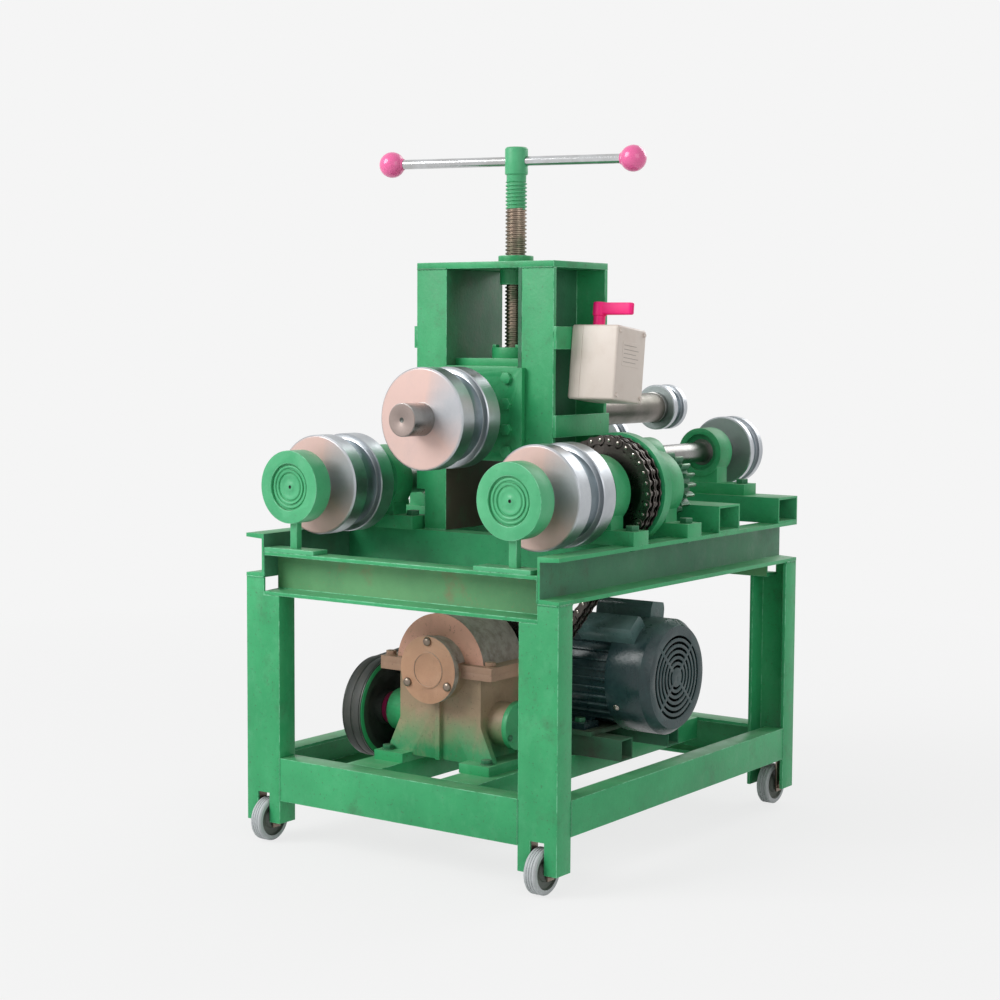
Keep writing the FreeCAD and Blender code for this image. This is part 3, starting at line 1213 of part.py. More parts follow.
def belt(g):
    """V belt: two wrapped arcs and two straight runs with a tapered section."""
    ay, az, ar = REDUCER_Y, WORM_AXIS_Z, BIG_PULLEY_R + 0.6
    by, bz, br = MOTOR_Y, MOTOR_Z, SMALL_PULLEY_R + 0.6
    dist = math.hypot(by - ay, bz - az)
    base = math.atan2(bz - az, by - ay)
    open_angle = math.acos((ar - br) / dist)
    section = [(0.0, -8.1), (0.0, 8.1), (-10.5, 4.6), (-10.5, -4.6)]
    pieces = []
    for way in (1, -1):
        t = base + way * open_angle
        d = V(0, math.cos(t), math.sin(t))
        pa = V(0, ay, az)
        pb = V(0, by, bz)
        pts = [pa + d * (ar + s) + V(g + w, 0, 0) for s, w in section]
        run = pb + d * br - pa - d * ar
        pieces.append(prism(pts, run))
    t0 = math.degrees(base + open_angle)
    wrap_a = 360 - 2 * math.degrees(open_angle)
    t1 = t0 - 360 + wrap_a
    for cy, cz, r, start, sweep in ((ay, az, ar, t0, wrap_a), (by, bz, br, t1, 360 - wrap_a)):
        c = V(0, cy, cz)
        t = math.radians(start)
        d = V(0, math.cos(t), math.sin(t))
        pts = [c + d * (r + s) + V(g + w, 0, 0) for s, w in section]
        face = Part.Face(Part.makePolygon(pts + [pts[0]]))
        pieces.append(face.revolve(c, V(1, 0, 0), sweep))
    return pieces[0].multiFuse(pieces[1:]).removeSplitter()


# ---------------------------------------------------------------- motor
MOTOR_X0 = -85.0
MOTOR_X1 = 228.0
COVER_X1 = 308.0
MOTOR_FOOT_T = 12.0
MOUNT_TUBE = 40.0
MOUNT_T = 8.0
MOUNT_TOP = RAIL_TOP + MOUNT_TUBE + MOUNT_T
MOTOR_FOOT_TOP = MOUNT_TOP + MOTOR_FOOT_T
MOTOR_BOLTS = [(a, MOTOR_Y + sy * 84) for sy in (-1, 1) for a in (30.0, 150.0)]
MOTOR_BEARING_R = 31.0
ROTOR_R = 15.0


def motor_frame():
    y, z = MOTOR_Y, MOTOR_Z
    parts = [ring("x", MOTOR_R, MOTOR_R - 9, MOTOR_X0, MOTOR_X1, y, z)]
    for k in range(36):
        t = math.radians(10 * k)
        if 235 < 10 * k < 305:
            continue
        fin = box(MOTOR_X0 + 6, MOTOR_X1 - 6, y - 1.5, y + 1.5, z + MOTOR_R - 2, z + MOTOR_R + 6)
        fin.rotate(V(0, y, z), V(1, 0, 0), 10 * k - 90)
        parts.append(fin)
    for sy in (-1, 1):
        a = sorted((y + sy * 52, y + sy * 100))
        parts.append(box(10, 170, a[0], a[1], MOUNT_TOP, MOTOR_FOOT_TOP))
        b = sorted((y + sy * 52, y + sy * 66))
        parts.append(box(16, 164, b[0], b[1], MOTOR_FOOT_TOP - 5.5, z - 60))
    shape = fuse(parts).cut(rod("x", MOTOR_R - 9, MOTOR_X0 - 1, MOTOR_X1 + 1, y, z))
    for u, v in MOTOR_BOLTS:
        shape = shape.cut(rod("z", 6.0, MOUNT_TOP - 1, MOTOR_FOOT_TOP + 1, u, v))
    return shape


def fan_cover():
    y, z = MOTOR_Y, MOTOR_Z
    r = 108.0
    x0, x1 = MOTOR_X1 - 10, COVER_X1
    pts = [(r, x0), (r, x1 - 16), (r - 12, x1), (0.01, x1), (0.01, x1 - 2.5)]
    pts += [(r - 13, x1 - 2.5), (r - 2.5, x1 - 17), (r - 2.5, x0)]
    shape = turned(pts, "x", y, z)
    for k in range(6):
        slot = ring("x", 18 + 11.0 * k + 5.0, 18 + 11.0 * k, x1 - 4, x1 + 1, y, z)
        for j in range(4):
            bar = box(x1 - 5, x1 + 2, y - 3, y + 3, z + 10, z + 90)
            bar.rotate(V(0, y, z), V(1, 0, 0), 45 + 90 * j)
            slot = slot.cut(bar)
        shape = shape.cut(slot)
    for j in range(3):
        lug = box(x0, x0 + 9, y - 6, y + 6, z + MOTOR_R - 1, z + r - 1)
        lug.rotate(V(0, y, z), V(1, 0, 0), 30 + 120 * j)
        shape = shape.fuse(lug)
    return shape


def capacitor_cover(x0, x1, t):
    """Rounded cover strapped on the motor frame at angle t from the top."""
    y, z = MOTOR_Y, MOTOR_Z
    shape = box(x0, x1, y - 24, y + 24, z + MOTOR_R + 6, z + MOTOR_R + 24)
    lid = rod("x", 24.0, x0, x1, y, z + MOTOR_R + 22)
    shape = shape.fuse(lid.common(box(x0, x1, y - 24, y + 24, z + MOTOR_R + 20, z + MOTOR_R + 38)))
    shape = shape.removeSplitter().cut(rod("x", MOTOR_R + 6 + AIR, x0 - 1, x1 + 1, y, z))
    shape.rotate(V(0, y, z), V(1, 0, 0), t)
    return shape


def build_motor_mount():
    """Two cross tubes and a plate with the motor's feet bolted down on it."""
    y = MOTOR_Y
    for y0 in (y - 104, y + 64):
        add("motor_mount", box_tube(-152, 253, y0, RAIL_TOP, MOUNT_TUBE, MOUNT_TUBE, 3))
    plate = box(-10, 190, y - 110, y + 110, MOUNT_TOP - MOUNT_T, MOUNT_TOP)
    for u, v in MOTOR_BOLTS:
        plate = plate.cut(rod("z", 6.0, MOUNT_TOP - MOUNT_T - 1, MOUNT_TOP + 1, u, v))
        shank = MOTOR_FOOT_T + MOUNT_T - 0.5
        add("frame_bolts", bolt("z", 11.9, MOTOR_FOOT_TOP, 1, u, v, shank))
    add("motor_mount", plate)


def motor_bells(cover):
    """End shields: a domed one at the pulley and a flat one under the fan cover."""
    y, z = MOTOR_Y, MOTOR_Z
    r = MOTOR_R + 3
    a = MOTOR_X0
    seat = MOTOR_BEARING_R
    dome = [(17.5, a - 27), (60, a - 27), (r, a - 8), (r, a), (MOTOR_R - 9, a), (MOTOR_R - 9, a - 4)]
    dome += [(56, a - 18), (seat, a - 18), (seat, a - 22), (17.5, a - 22)]
    bell = turned(dome, "x", y, z).cut(rod("x", seat, a - 22, a - 5, y, z))
    a = MOTOR_X1
    hole = ROTOR_R + 1.5
    flat = [(hole, a), (r, a), (r, a + 7), (50, a + 12), (hole, a + 12)]
    tail = turned(flat, "x", y, z).cut(rod("x", seat, a - 1, a + 8, y, z))
    return bell, tail.cut(cover)


def rotor():
    """Motor shaft, core, belt pulley and cooling fan."""
    y, z = MOTOR_Y, MOTOR_Z
    a, b = MOTOR_X0, MOTOR_X1
    shaft = fuse([rod("x", ROTOR_R - 1, PULLEY_X0 - 2, a - 30, y, z),
                  rod("x", ROTOR_R, a - 30, b + 8, y, z),
                  rod("x", ROTOR_R - 3, b + 8, b + 40, y, z)])
    shaft_key = pulley_key(y, z, ROTOR_R - 1)
    add("rotor_shaft", shaft.cut(shaft_key), shaft_key)
    add("rotor_shaft", ring("x", 51.5, ROTOR_R, a + 68, a + 232, y, z))
    add("rotor_shaft", pulley(SMALL_PULLEY_R, ROTOR_R - 1, y, z, False).cut(shaft_key))
    blades = [rod("x", 26.0, b + 16, b + 40, y, z)]
    blades.append(ring("x", 92.0, 25.0, b + 16, b + 19, y, z))
    for k in range(8):
        blade = box(b + 17, b + 46, y - 1.5, y + 1.5, z + 24, z + 92)
        blade.rotate(V(0, y, z), V(1, 0, 0), 45 * k)
        blades.append(blade)
    add("rotor_shaft", fuse(blades).cut(rod("x", ROTOR_R - 3, b + 10, b + 50, y, z)))
    for a0 in (a - 18, b - 8):
        outer, inner = bearing("x", ROTOR_R, MOTOR_BEARING_R, a0, a0 + 16, y, z)
        add("bearing_rings", outer)
        add("rotor_shaft", inner)


def build_motor():
    y, z = MOTOR_Y, MOTOR_Z
    build_motor_mount()
    cover = fan_cover()
    add("motor_frame", motor_frame())
    add("motor_bells", *motor_bells(cover))
    add("fan_cover", cover.cut(motor_frame_solid()))
    for x0, x1, turn in ((134.0, 254.0, -9.0), (150.0, 266.0, 38.0)):
        add("capacitor_covers", capacitor_cover(x0, x1, turn).cut(cover))
    add("motor_frame", ring("x", MOTOR_R - 9, 52.0, MOTOR_X0 + 70, MOTOR_X0 + 230, y, z))
    rotor()


def motor_frame_solid():
    return rod("x", MOTOR_R + 7, MOTOR_X0, MOTOR_X1, MOTOR_Y, MOTOR_Z)


# ---------------------------------------------------------------- build
build_frame()
build_casters()
build_housings()
build_gear_train()
main_spindle(1, "right")
main_spindle(-1, "left")
build_drive_side()
rear_spindle(1, "right")
rear_spindle(-1, "left")
build_tower()
build_carriage()
build_top_spindle()
build_screw()
build_switch()
build_chain()
build_reducer()
build_reducer_insides()
add("belts", *[belt(g) for g in groove_spots()])
build_motor()
write_nodes()
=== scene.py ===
"""The ring roller, dressed.

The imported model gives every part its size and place. This script finishes the machine on top of it:
rolled channels with soft worn edges and weld beads, turned rolls, the threaded pressure screw, the
roller chain, the belt drive, the gear case, the motor and the switch box, then a plain studio round it.
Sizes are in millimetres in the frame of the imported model, and the bench turns them into metres.
"""

import logging
import math
from dataclasses import dataclass, replace
from enum import Enum
from typing import Callable, Iterable, Optional, Sequence

import bpy
from mathutils import Matrix, Vector


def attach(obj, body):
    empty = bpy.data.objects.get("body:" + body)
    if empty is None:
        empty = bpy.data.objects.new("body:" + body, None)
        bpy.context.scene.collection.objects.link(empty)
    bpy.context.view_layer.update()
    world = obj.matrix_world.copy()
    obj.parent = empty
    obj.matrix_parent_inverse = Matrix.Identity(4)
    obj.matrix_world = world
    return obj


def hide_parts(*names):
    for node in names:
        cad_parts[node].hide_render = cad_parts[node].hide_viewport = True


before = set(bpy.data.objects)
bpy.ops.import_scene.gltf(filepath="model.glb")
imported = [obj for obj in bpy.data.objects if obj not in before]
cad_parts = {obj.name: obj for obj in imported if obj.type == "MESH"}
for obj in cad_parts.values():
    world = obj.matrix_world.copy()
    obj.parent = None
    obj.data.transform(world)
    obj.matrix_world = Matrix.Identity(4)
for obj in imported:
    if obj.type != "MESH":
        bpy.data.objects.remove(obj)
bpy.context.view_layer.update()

LOG = logging.getLogger("ring_roller")
MM = 0.001
MERGE = 0.01
FLAT_ANGLE = 0.6
TURN = 2 * math.pi
BOTH = (-1, 1)

Piece = bpy.types.Object
Socket = bpy.types.NodeSocket
Point = Sequence[float]
Triple = tuple[float, float, float]
Profile = Sequence[tuple[float, float]]
Test = Callable[[Vector, Vector], bool]
Spots = Sequence[tuple["Finish", Test]]


# ------------------------------------------------------------------------------------ choices
class Axis(Enum):
    """An axis to turn about, with the direction in which a turned profile is drawn."""

    X = ((1, 0, 0), (0, 1, 0))
    Y = ((0, 1, 0), (1, 0, 0))
    Z = ((0, 0, 1), (1, 0, 0))

    @property
    def along(self) -> Vector:
        """The direction of the axis."""
        return Vector(self.value[0])

    @property
    def out(self) -> Vector:
        """The direction in which a radius is drawn."""
        return Vector(self.value[1])


class Side(Enum):
    """The two sides of the machine as its operator sees them."""

    LEFT = -1
    RIGHT = 1

    @property
    def word(self) -> str:
        """The side's name in node and body names."""
        return self.name.lower()


class Grain(Enum):
    """The direction of the tool marks on bare metal."""

    NONE = "none"
    RINGS = "rings"
    ALONG_Y = (0.12, 3, 0.12)
    ALONG_X = (3, 0.12, 0.12)


# ------------------------------------------------------------------------------------ shading
def tone(code: str) -> tuple[float, ...]:
    """Turns a screen colour of six hex digits into the linear colour that a shader takes."""
    shares = (int(code[start:start + 2], 16) / 255 for start in (0, 2, 4))
    return (*(share / 12.92 if share <= 0.04045 else ((share + 0.055) / 1.055) ** 2.4 for share in shares), 1)


class Graph:
    """A node tree that is built step by step."""

    def __init__(self, owner: bpy.types.ID) -> None:
        """Starts with an empty node tree.

        Args:
            owner: The material or world that the tree belongs to.
        """
        owner.use_nodes = True
        self.tree = owner.node_tree
        self.tree.nodes.clear()

    def feed(self, node: bpy.types.Node, slots: Iterable[tuple[int, object]] = (),
             **inputs: object) -> bpy.types.Node:
        """Gives a node's inputs their links, screen colours or plain values.

        Args:
            node: The node.
            slots: Numbers of inputs, each with what to feed it.
            **inputs: Names of inputs, each with what to feed it.

        Returns:
            The node.
        """
        named = [(key.replace("_", " "), value) for key, value in inputs.items()]
        for key, value in [*slots, *named]:
            if isinstance(value, Socket):
                self.tree.links.new(value, node.inputs[key])
            else:
                node.inputs[key].default_value = tone(value) if isinstance(value, str) else value
        return node

    def add(self, kind: str, settings: Optional[dict] = None,
            slots: Iterable[tuple[int, object]] = (), **inputs: object) -> bpy.types.Node:
        """Adds a node.

        Args:
            kind: The node's type, without the word before it that they all have.
            settings: Values for the node's own properties.
            slots: Numbers of inputs, each with what to feed it.
            **inputs: Names of inputs, each with what to feed it.

        Returns:
            The new node.
        """
        node = self.tree.nodes.new("ShaderNode" + kind)
        for key, value in (settings or {}).items():
            setattr(node, key, value)
        return self.feed(node, slots, **inputs)

    def sum(self, first: object, second: object, operation: str = "MULTIPLY") -> Socket:
        """Works out one sum with two values."""
        return self.add("Math", {"operation": operation}, [(0, first), (1, second)]).outputs[0]

    def window(self, value: Socket, low: float, high: float, start: float = 0, end: float = 1) -> Socket:
        """Spreads the part of a value between low and high over start to end."""
        return self.add("MapRange", {"clamp": True}, enumerate((value, low, high, start, end))).outputs[0]


class Recipe(Graph):
    """One material's nodes, added step by step."""

    def __init__(self, name: str, centre: Point = (0, 0, 0)) -> None:
        """Starts a material.

        Args:
            name: The material's name.
            centre: The point where the pattern has its origin.
        """
        self.material = bpy.data.materials.new(name)
        super().__init__(self.material)
        self.shader = self.add("BsdfPrincipled")
        self.add("OutputMaterial", Surface=self.shader.outputs["BSDF"])
        self.place = self.add("Mapping", Vector=self.add("TexCoord").outputs["Object"],
                              Location=[-value * MM for value in centre]).outputs["Vector"]
        self.bumps = None

    def noise(self, scale: float, detail: float = 4, rough: float = 0.6,
              stretch: Optional[Point] = None) -> Socket:
        """Adds cloudy noise.

        Args:
            scale: How many clouds there are to a metre.
            detail: How many finer layers there are.
            rough: How strong the finer layers are.
            stretch: How much finer the noise is along each axis.

        Returns:
            The noise, from 0 to 1.
        """
        vector = self.place
        if stretch:
            vector = self.add("Mapping", Vector=self.place, Scale=stretch).outputs[0]
        return self.add("TexNoise", Vector=vector, Scale=scale, Detail=detail, Roughness=rough).outputs[0]

    def blend(self, share: object, under: object, over: object) -> Socket:
        """Lays one colour over another, by the share of the upper one that shows."""
        return self.add("Mix", {"data_type": "RGBA"}, [(0, share), (6, under), (7, over)]).outputs[2]

    def upward(self, low: float = 0.55, high: float = 0.95) -> Socket:
        """How much a surface looks up, from 0 to 1."""
        normal = self.add("NewGeometry").outputs["Normal"]
        return self.window(self.add("SeparateXYZ", Vector=normal).outputs[2], low, high)

    def height(self, low: float, high: float) -> Socket:
        """How far a point is from one height to another, from 0 to 1."""
        return self.window(self.add("SeparateXYZ", Vector=self.place).outputs[2], low * MM, high * MM)

    def raise_by(self, value: Socket, depth: float, strength: float = 1) -> None:
        """Adds a bump to the bumps that are there.

        Args:
            value: The pattern of the bump.
            depth: How high it stands.
            strength: How much of it shows.
        """
        node = self.add("Bump", Height=value, Strength=strength, Distance=depth * MM)
        if self.bumps is not None:
            self.feed(node, Normal=self.bumps)
        self.bumps = node.outputs[0]

    def finish(self, colour: Socket, roughness: Socket, **fixed: float) -> bpy.types.Material:
        """Joins the colour, the roughness, the bumps and fixed numbers to the shader."""
        self.feed(self.shader, Base_Color=colour, Roughness=roughness, Normal=self.bumps, **fixed)
        return self.material


# ------------------------------------------------------------------------------------ finishes
@dataclass(frozen=True)
class Finish:
    """What every finish has: a name, the slot that it belongs to and its colour."""

    name: str
    slot: str
    colour: str

    def cook(self) -> bpy.types.Material:
        """Makes the material."""
        raise NotImplementedError

    def material(self) -> bpy.types.Material:
        """Gives the material, made once."""
        return bpy.data.materials.get(self.name) or self.cook()


@dataclass(frozen=True)
class Paint(Finish):
    """Brushed and sprayed enamel: mottled, grimy in places, dusty on top, worn at the edges."""

    deep: str
    grime: str = "3e3a2e"
    dust: str = "969682"
    bare: str = "96cdaa"
    grime_share: float = 0.45
    dust_share: float = 0.25
    speck_share: float = 0.5
    bare_share: float = 0.0
    roughness: float = 0.42
    fade: Optional[tuple[float, float, str]] = None

    def cook(self) -> bpy.types.Material:
        """Makes the material.

        Returns:
            The material.
        """
        recipe = Recipe(self.name)
        clouds = recipe.noise(5, 5, 0.62)
        streaks = recipe.noise(26, 6, 0.68, (1, 1, 0.7))
        specks = recipe.noise(210, 3, 0.6)
        colour = recipe.blend(recipe.window(clouds, 0.36, 0.64), self.colour, self.deep)
        if self.fade:
            low, high, base = self.fade
            ragged = recipe.sum(recipe.height(low, high), recipe.window(streaks, 0.3, 0.7, -0.2, 0.2), "ADD")
            colour = recipe.blend(ragged, base, colour)
        colour = recipe.blend(recipe.window(streaks, 0.5, 0.8, 0, 0.2), colour, self.bare)
        dirt = recipe.window(recipe.noise(9, 8, 0.72), 0.55, 0.74, 0, self.grime_share)
        colour = recipe.blend(dirt, colour, self.grime)
        colour = recipe.blend(recipe.window(specks, 0.62, 0.72, 0, self.speck_share), colour, self.grime)
        dusty = recipe.sum(recipe.upward(), recipe.window(streaks, 0.3, 0.62, 0.3, 1))
        colour = recipe.blend(recipe.sum(dusty, self.dust_share), colour, self.dust)
        if self.bare_share:
            rubbed = recipe.window(recipe.noise(48, 6, 0.7), 0.42, 0.58, 0, self.bare_share)
            colour = recipe.blend(rubbed, colour, self.bare)
        recipe.raise_by(recipe.noise(150, 3, 0.55), 0.6, 0.5)
        recipe.raise_by(specks, 0.3, 0.4)
        gloss = recipe.window(streaks, 0.3, 0.7, self.roughness - 0.08, self.roughness + 0.16)
        return recipe.finish(colour, gloss, Specular_IOR_Level=0.45)

    def worn(self) -> "Paint":
        """The same paint on an edge, rubbed through to a lighter coat."""
        return replace(self, name=self.name + "_edge", grime_share=self.grime_share * 0.6, bare_share=0.75,
                       roughness=self.roughness - 0.06)


@dataclass(frozen=True)
class Metal(Finish):
    """Bare machined metal with tool marks, stains and scratches, and on faced discs a painted reflection."""

    stain: str
    roughness: float = 0.3
    grain: Grain = Grain.NONE
    centre: Triple = (0, 0, 0)
    stain_share: float = 0.5
    metallic: float = 1.0
    painted_reflection: Optional[str] = None
    sheen_way: Triple = (0.95, 0.0, 0.31)

    def cook(self) -> bpy.types.Material:
        """Makes the material.

        Returns:
            The material.
        """
        recipe = Recipe(self.name, self.centre)
        clouds = recipe.noise(14, 6, 0.65)
        fine = recipe.noise(220, 4, 0.6)
        colour = recipe.blend(recipe.window(clouds, 0.4, 0.66, 0, self.stain_share), self.colour, self.stain)
        colour = recipe.blend(recipe.window(fine, 0.6, 0.75, 0, 0.35), colour, self.stain)
        # Faced discs get a painted reflection: pink away from a wedge of painted highlight, where the base
        # colour shows.
        if self.painted_reflection:
            ragged = recipe.sum(self.wedge(recipe), recipe.window(clouds, 0.3, 0.7, -0.15, 0.15), "ADD")
            colour = recipe.blend(ragged, self.painted_reflection, colour)
        marks = fine
        if self.grain is Grain.RINGS:
            marks = recipe.add("TexWave", {"wave_type": "RINGS", "rings_direction": "Y"}, Vector=recipe.place,
                               Scale=330.0, Distortion=0.6, Detail=1.0).outputs[1]
        elif self.grain is not Grain.NONE:
            marks = recipe.noise(240, 3, 0.6, self.grain.value)
        gloss = recipe.window(clouds, 0.3, 0.7, self.roughness - 0.07, self.roughness + 0.12)
        gloss = recipe.sum(gloss, recipe.window(marks, 0, 1, -0.04, 0.05), "ADD")
        recipe.raise_by(marks, 0.05, 0.35)
        recipe.raise_by(recipe.noise(60, 5, 0.7), 0.12, 0.25)
        return recipe.finish(colour, gloss, Metallic=self.metallic)

    def wedge(self, recipe: Recipe) -> Socket:
        """Adds the painted sheen of a faced disc: a painted highlight in a wedge.

        Args:
            recipe: The recipe that gets it.

        Returns:
            1 in a wedge from the disc's centre to one side, 0 elsewhere.
        """
        flat = recipe.add("Mapping", Vector=recipe.place, Scale=(1, 0, 1)).outputs[0]
        way = recipe.add("VectorMath", {"operation": "NORMALIZE"}, Vector=flat).outputs[0]
        share = recipe.add("VectorMath", {"operation": "DOT_PRODUCT"}, [(0, way), (1, self.sheen_way)])
        return recipe.window(share.outputs["Value"], 0.5, 1.0)


@dataclass(frozen=True)
class Plastic(Finish):
    """Moulded plastic or rubber with a fine skin and a little handling dirt."""

    grime: str
    roughness: float = 0.35
    grime_share: float = 0.3
    skin: float = 0.12
    coat: float = 0.0

    def cook(self) -> bpy.types.Material:
        """Makes the material.

        Returns:
            The material.
        """
        recipe = Recipe(self.name)
        clouds = recipe.noise(18, 6, 0.66)
        colour = recipe.blend(recipe.window(clouds, 0.5, 0.75, 0, self.grime_share), self.colour, self.grime)
        scuffs = recipe.noise(120, 5, 0.7)
        colour = recipe.blend(recipe.window(scuffs, 0.62, 0.78, 0, self.grime_share), colour, self.grime)
        recipe.raise_by(recipe.noise(700, 2, 0.5), self.skin, 0.4)
        gloss = recipe.window(clouds, 0.3, 0.7, self.roughness - 0.05, self.roughness + 0.12)
        return recipe.finish(colour, gloss, Coat_Weight=self.coat, Coat_Roughness=0.1)


GREEN = Paint("green_enamel", "green_paint", "38a66a", "2a945c", bare="80cea2")
# Grey-green for the side channel webs and the gears behind the tower: real dust, and darker as painted shade.
GREEN_WEB = Paint("green_enamel_dust_and_shade", "green_paint", "407e5c", "326a4e", bare="6ea684", grime_share=0.55,
                  dust_share=0.35, roughness=0.5)
END_WEB = Paint("green_enamel_rusty", "green_paint", "64a06c", "528c5e", grime="926c54", bare="7cb080",
                grime_share=0.8, speck_share=0.3, roughness=0.5)
GREEN_SHADE = Paint("green_enamel_shade", "green_paint", "30a066", "247e50", grime="282e24", bare="5aaa7e",
                    grime_share=0.6, roughness=0.42)
# Dark green with heavy grime, and darker also as painted shade: the column channel insides, the bolts and the
# brackets.
GREEN_DARK = Paint("green_enamel_grime_and_shade", "green_paint", "307c54", "205c3e", grime="28221c", bare="609e7a",
                   grime_share=0.75, roughness=0.45)
# Dark brown-green for the motor mount: painted shadow under the motor, with grime.
GREEN_SHADOWED = Paint("green_enamel_shadow_and_grime", "green_paint", "2c7452", "3c4236", grime="362e28", bare="508264",
                   grime_share=0.6, roughness=0.5)
GREEN_PALE = Paint("green_enamel_pale", "green_paint", "54b47e", "44a470", bare="8cd6ac", speck_share=0.15,
                   grime_share=0.15, roughness=0.36)
WINDOW_WEB = Paint("green_enamel_window", "green_paint", "3c885c", "2e6848", bare="5c9a74",
                   grime_share=0.35, fade=(700, 722, "645a4e"), roughness=0.42)
WELD = Paint("weld_green", "green_paint", "4aaa76", "348056", bare="8ccea6", grime="584230",
             grime_share=0.5, roughness=0.34)
TAN = Paint("gear_case_tan", "tan_paint", "ac9478", "967e66", bare="baa68e", grime="544438", dust_share=0.3,
            fade=(186, 262, "328e5a"), roughness=0.46)
HOOD_TAN = Paint("gear_hood_tan", "tan_paint", "9e9288", "80766e", bare="d6cec4", grime="4e4640",
                 grime_share=0.6, dust_share=0.4, bare_share=0.3, roughness=0.5)
# Pale pink for the front of the hood: the hood's own pink paint, made paler as painted light where the
# channel above shades it.
HOOD_FACE_LIT = Paint("gear_hood_face_painted_light", "tan_paint", "e0aa94", "ca9882", bare="e2beaa", grime="60463c",
                  grime_share=0.3, roughness=0.48)
FLANGE_TAN = Paint("gear_flange_tan", "tan_paint", "b08c74", "967662", bare="ceb49e", grime="5a463a",
                   grime_share=0.45, roughness=0.46)
CAP_TAN = Paint("gear_cap_tan", "tan_paint", "c09678", "ac8266", bare="d6b89e", grime="6e5648",
                grime_share=0.3, speck_share=0.3, roughness=0.42)
TEAL = Paint("motor_teal", "teal_paint", "223c3e", "182c30", bare="547a76", grime="161a1c", dust="8ca2a0",
             dust_share=0.5, roughness=0.27)
# Paler teal for the capacitor covers: painted sheen, a lit copy of the motor's teal where the bench shades
# them.
TEAL_PAINTED_SHEEN = Paint("capacitor_teal_painted_sheen", "teal_paint", "567270", "425c5c", bare="789692", grime="282e2e",
                  dust="8ca2a0", dust_share=0.5, roughness=0.27)
# The front faces of the rolls carry a painted reflection round a wedge of painted highlight.
ROLL_FACE = Metal("roll_face", "roll_steel", "b2b4b8", "9e9ea2", 0.5, Grain.RINGS, stain_share=0.35,
                  metallic=0.8, painted_reflection="d0b4ac")
ROLL_BACK = Metal("roll_back", "roll_steel", "9aa2a2", "828888", 0.44, Grain.RINGS, stain_share=0.35,
                  metallic=0.8)
ROLL_RIM = Metal("roll_rim", "roll_steel", "babec2", "8c9096", 0.33, Grain.ALONG_Y, stain_share=0.35)
# Darker steel for the groove floors of the rolls: painted shade in the recess.
ROLL_GROOVE_SHADE = Metal("roll_groove_shade", "roll_steel", "88949a", "606a70", 0.36, Grain.ALONG_Y, stain_share=0.4)
BRIGHT = Metal("bright_bar", "bright_steel", "ced0d2", "96928c", 0.14, Grain.ALONG_X)
SHAFT = Metal("shaft_steel", "bright_steel", "949391", "6e6a66", 0.32, Grain.ALONG_Y)
SLEEVE = Metal("sleeve_steel", "bright_steel", "807a74", "5c6054", 0.36, Grain.ALONG_Y, stain_share=0.6)
SHAFT_END = Metal("shaft_end", "bright_steel", "988a84", "847670", 0.44, Grain.RINGS, (0, 0, 790),
                  metallic=0.7)
SCREW_STEEL = Metal("screw_steel", "dark_steel", "928274", "325038", 0.28, stain_share=0.85)
CHAIN_STEEL = Metal("chain_steel", "dark_steel", "68625e", "302c2a", 0.27, stain_share=0.65)
PIN_STEEL = Metal("pin_steel", "bright_steel", "beb8b0", "82786c", 0.22)
IRON = Metal("oiled_iron", "cast_iron", "545854", "323634", 0.4, stain_share=0.7, metallic=0.6)
BEARING = Metal("bearing_face", "bearing_steel", "aaa8a2", "6e6860", 0.25)
GEAR_TIP = Metal("gear_tip", "bright_steel", "7c9682", "3a5842", 0.3, stain_share=0.8)
DARK = Metal("dark_bolt", "zinc_steel", "8a7c70", "54463c", 0.32, metallic=0.85)
IVORY = Plastic("ivory_plastic", "ivory_paint", "d8ccc2", "b8a292", 0.36, 0.25)
PINK = Plastic("hot_pink_plastic", "pink_plastic", "fa0c7c", "c4125c", 0.46, 0.2, 0.008)
COLLAR = Paint("collar_pink", "pink_plastic", "b0245c", "801846", bare="ce7896", grime="322224",
               grime_share=0.7, roughness=0.4)
BALL_PINK = Plastic("ball_plastic", "pink_plastic", "ec64a0", "ce467e", 0.2, 0.2, 0.006, 0.4)
BELT = Plastic("belt_rubber", "black_rubber", "3e403e", "605a52", 0.55, 0.55)
TREAD = Plastic("tread_rubber", "grey_rubber", "b4b8ba", "767876", 0.5, 0.4)
WHEEL_BODY = Plastic("wheel_body", "nylon", "545c54", "343630", 0.5, 0.5)
LABEL = Plastic("label_ink", "ivory_paint", "9e968e", "786e66", 0.5, 0.3)


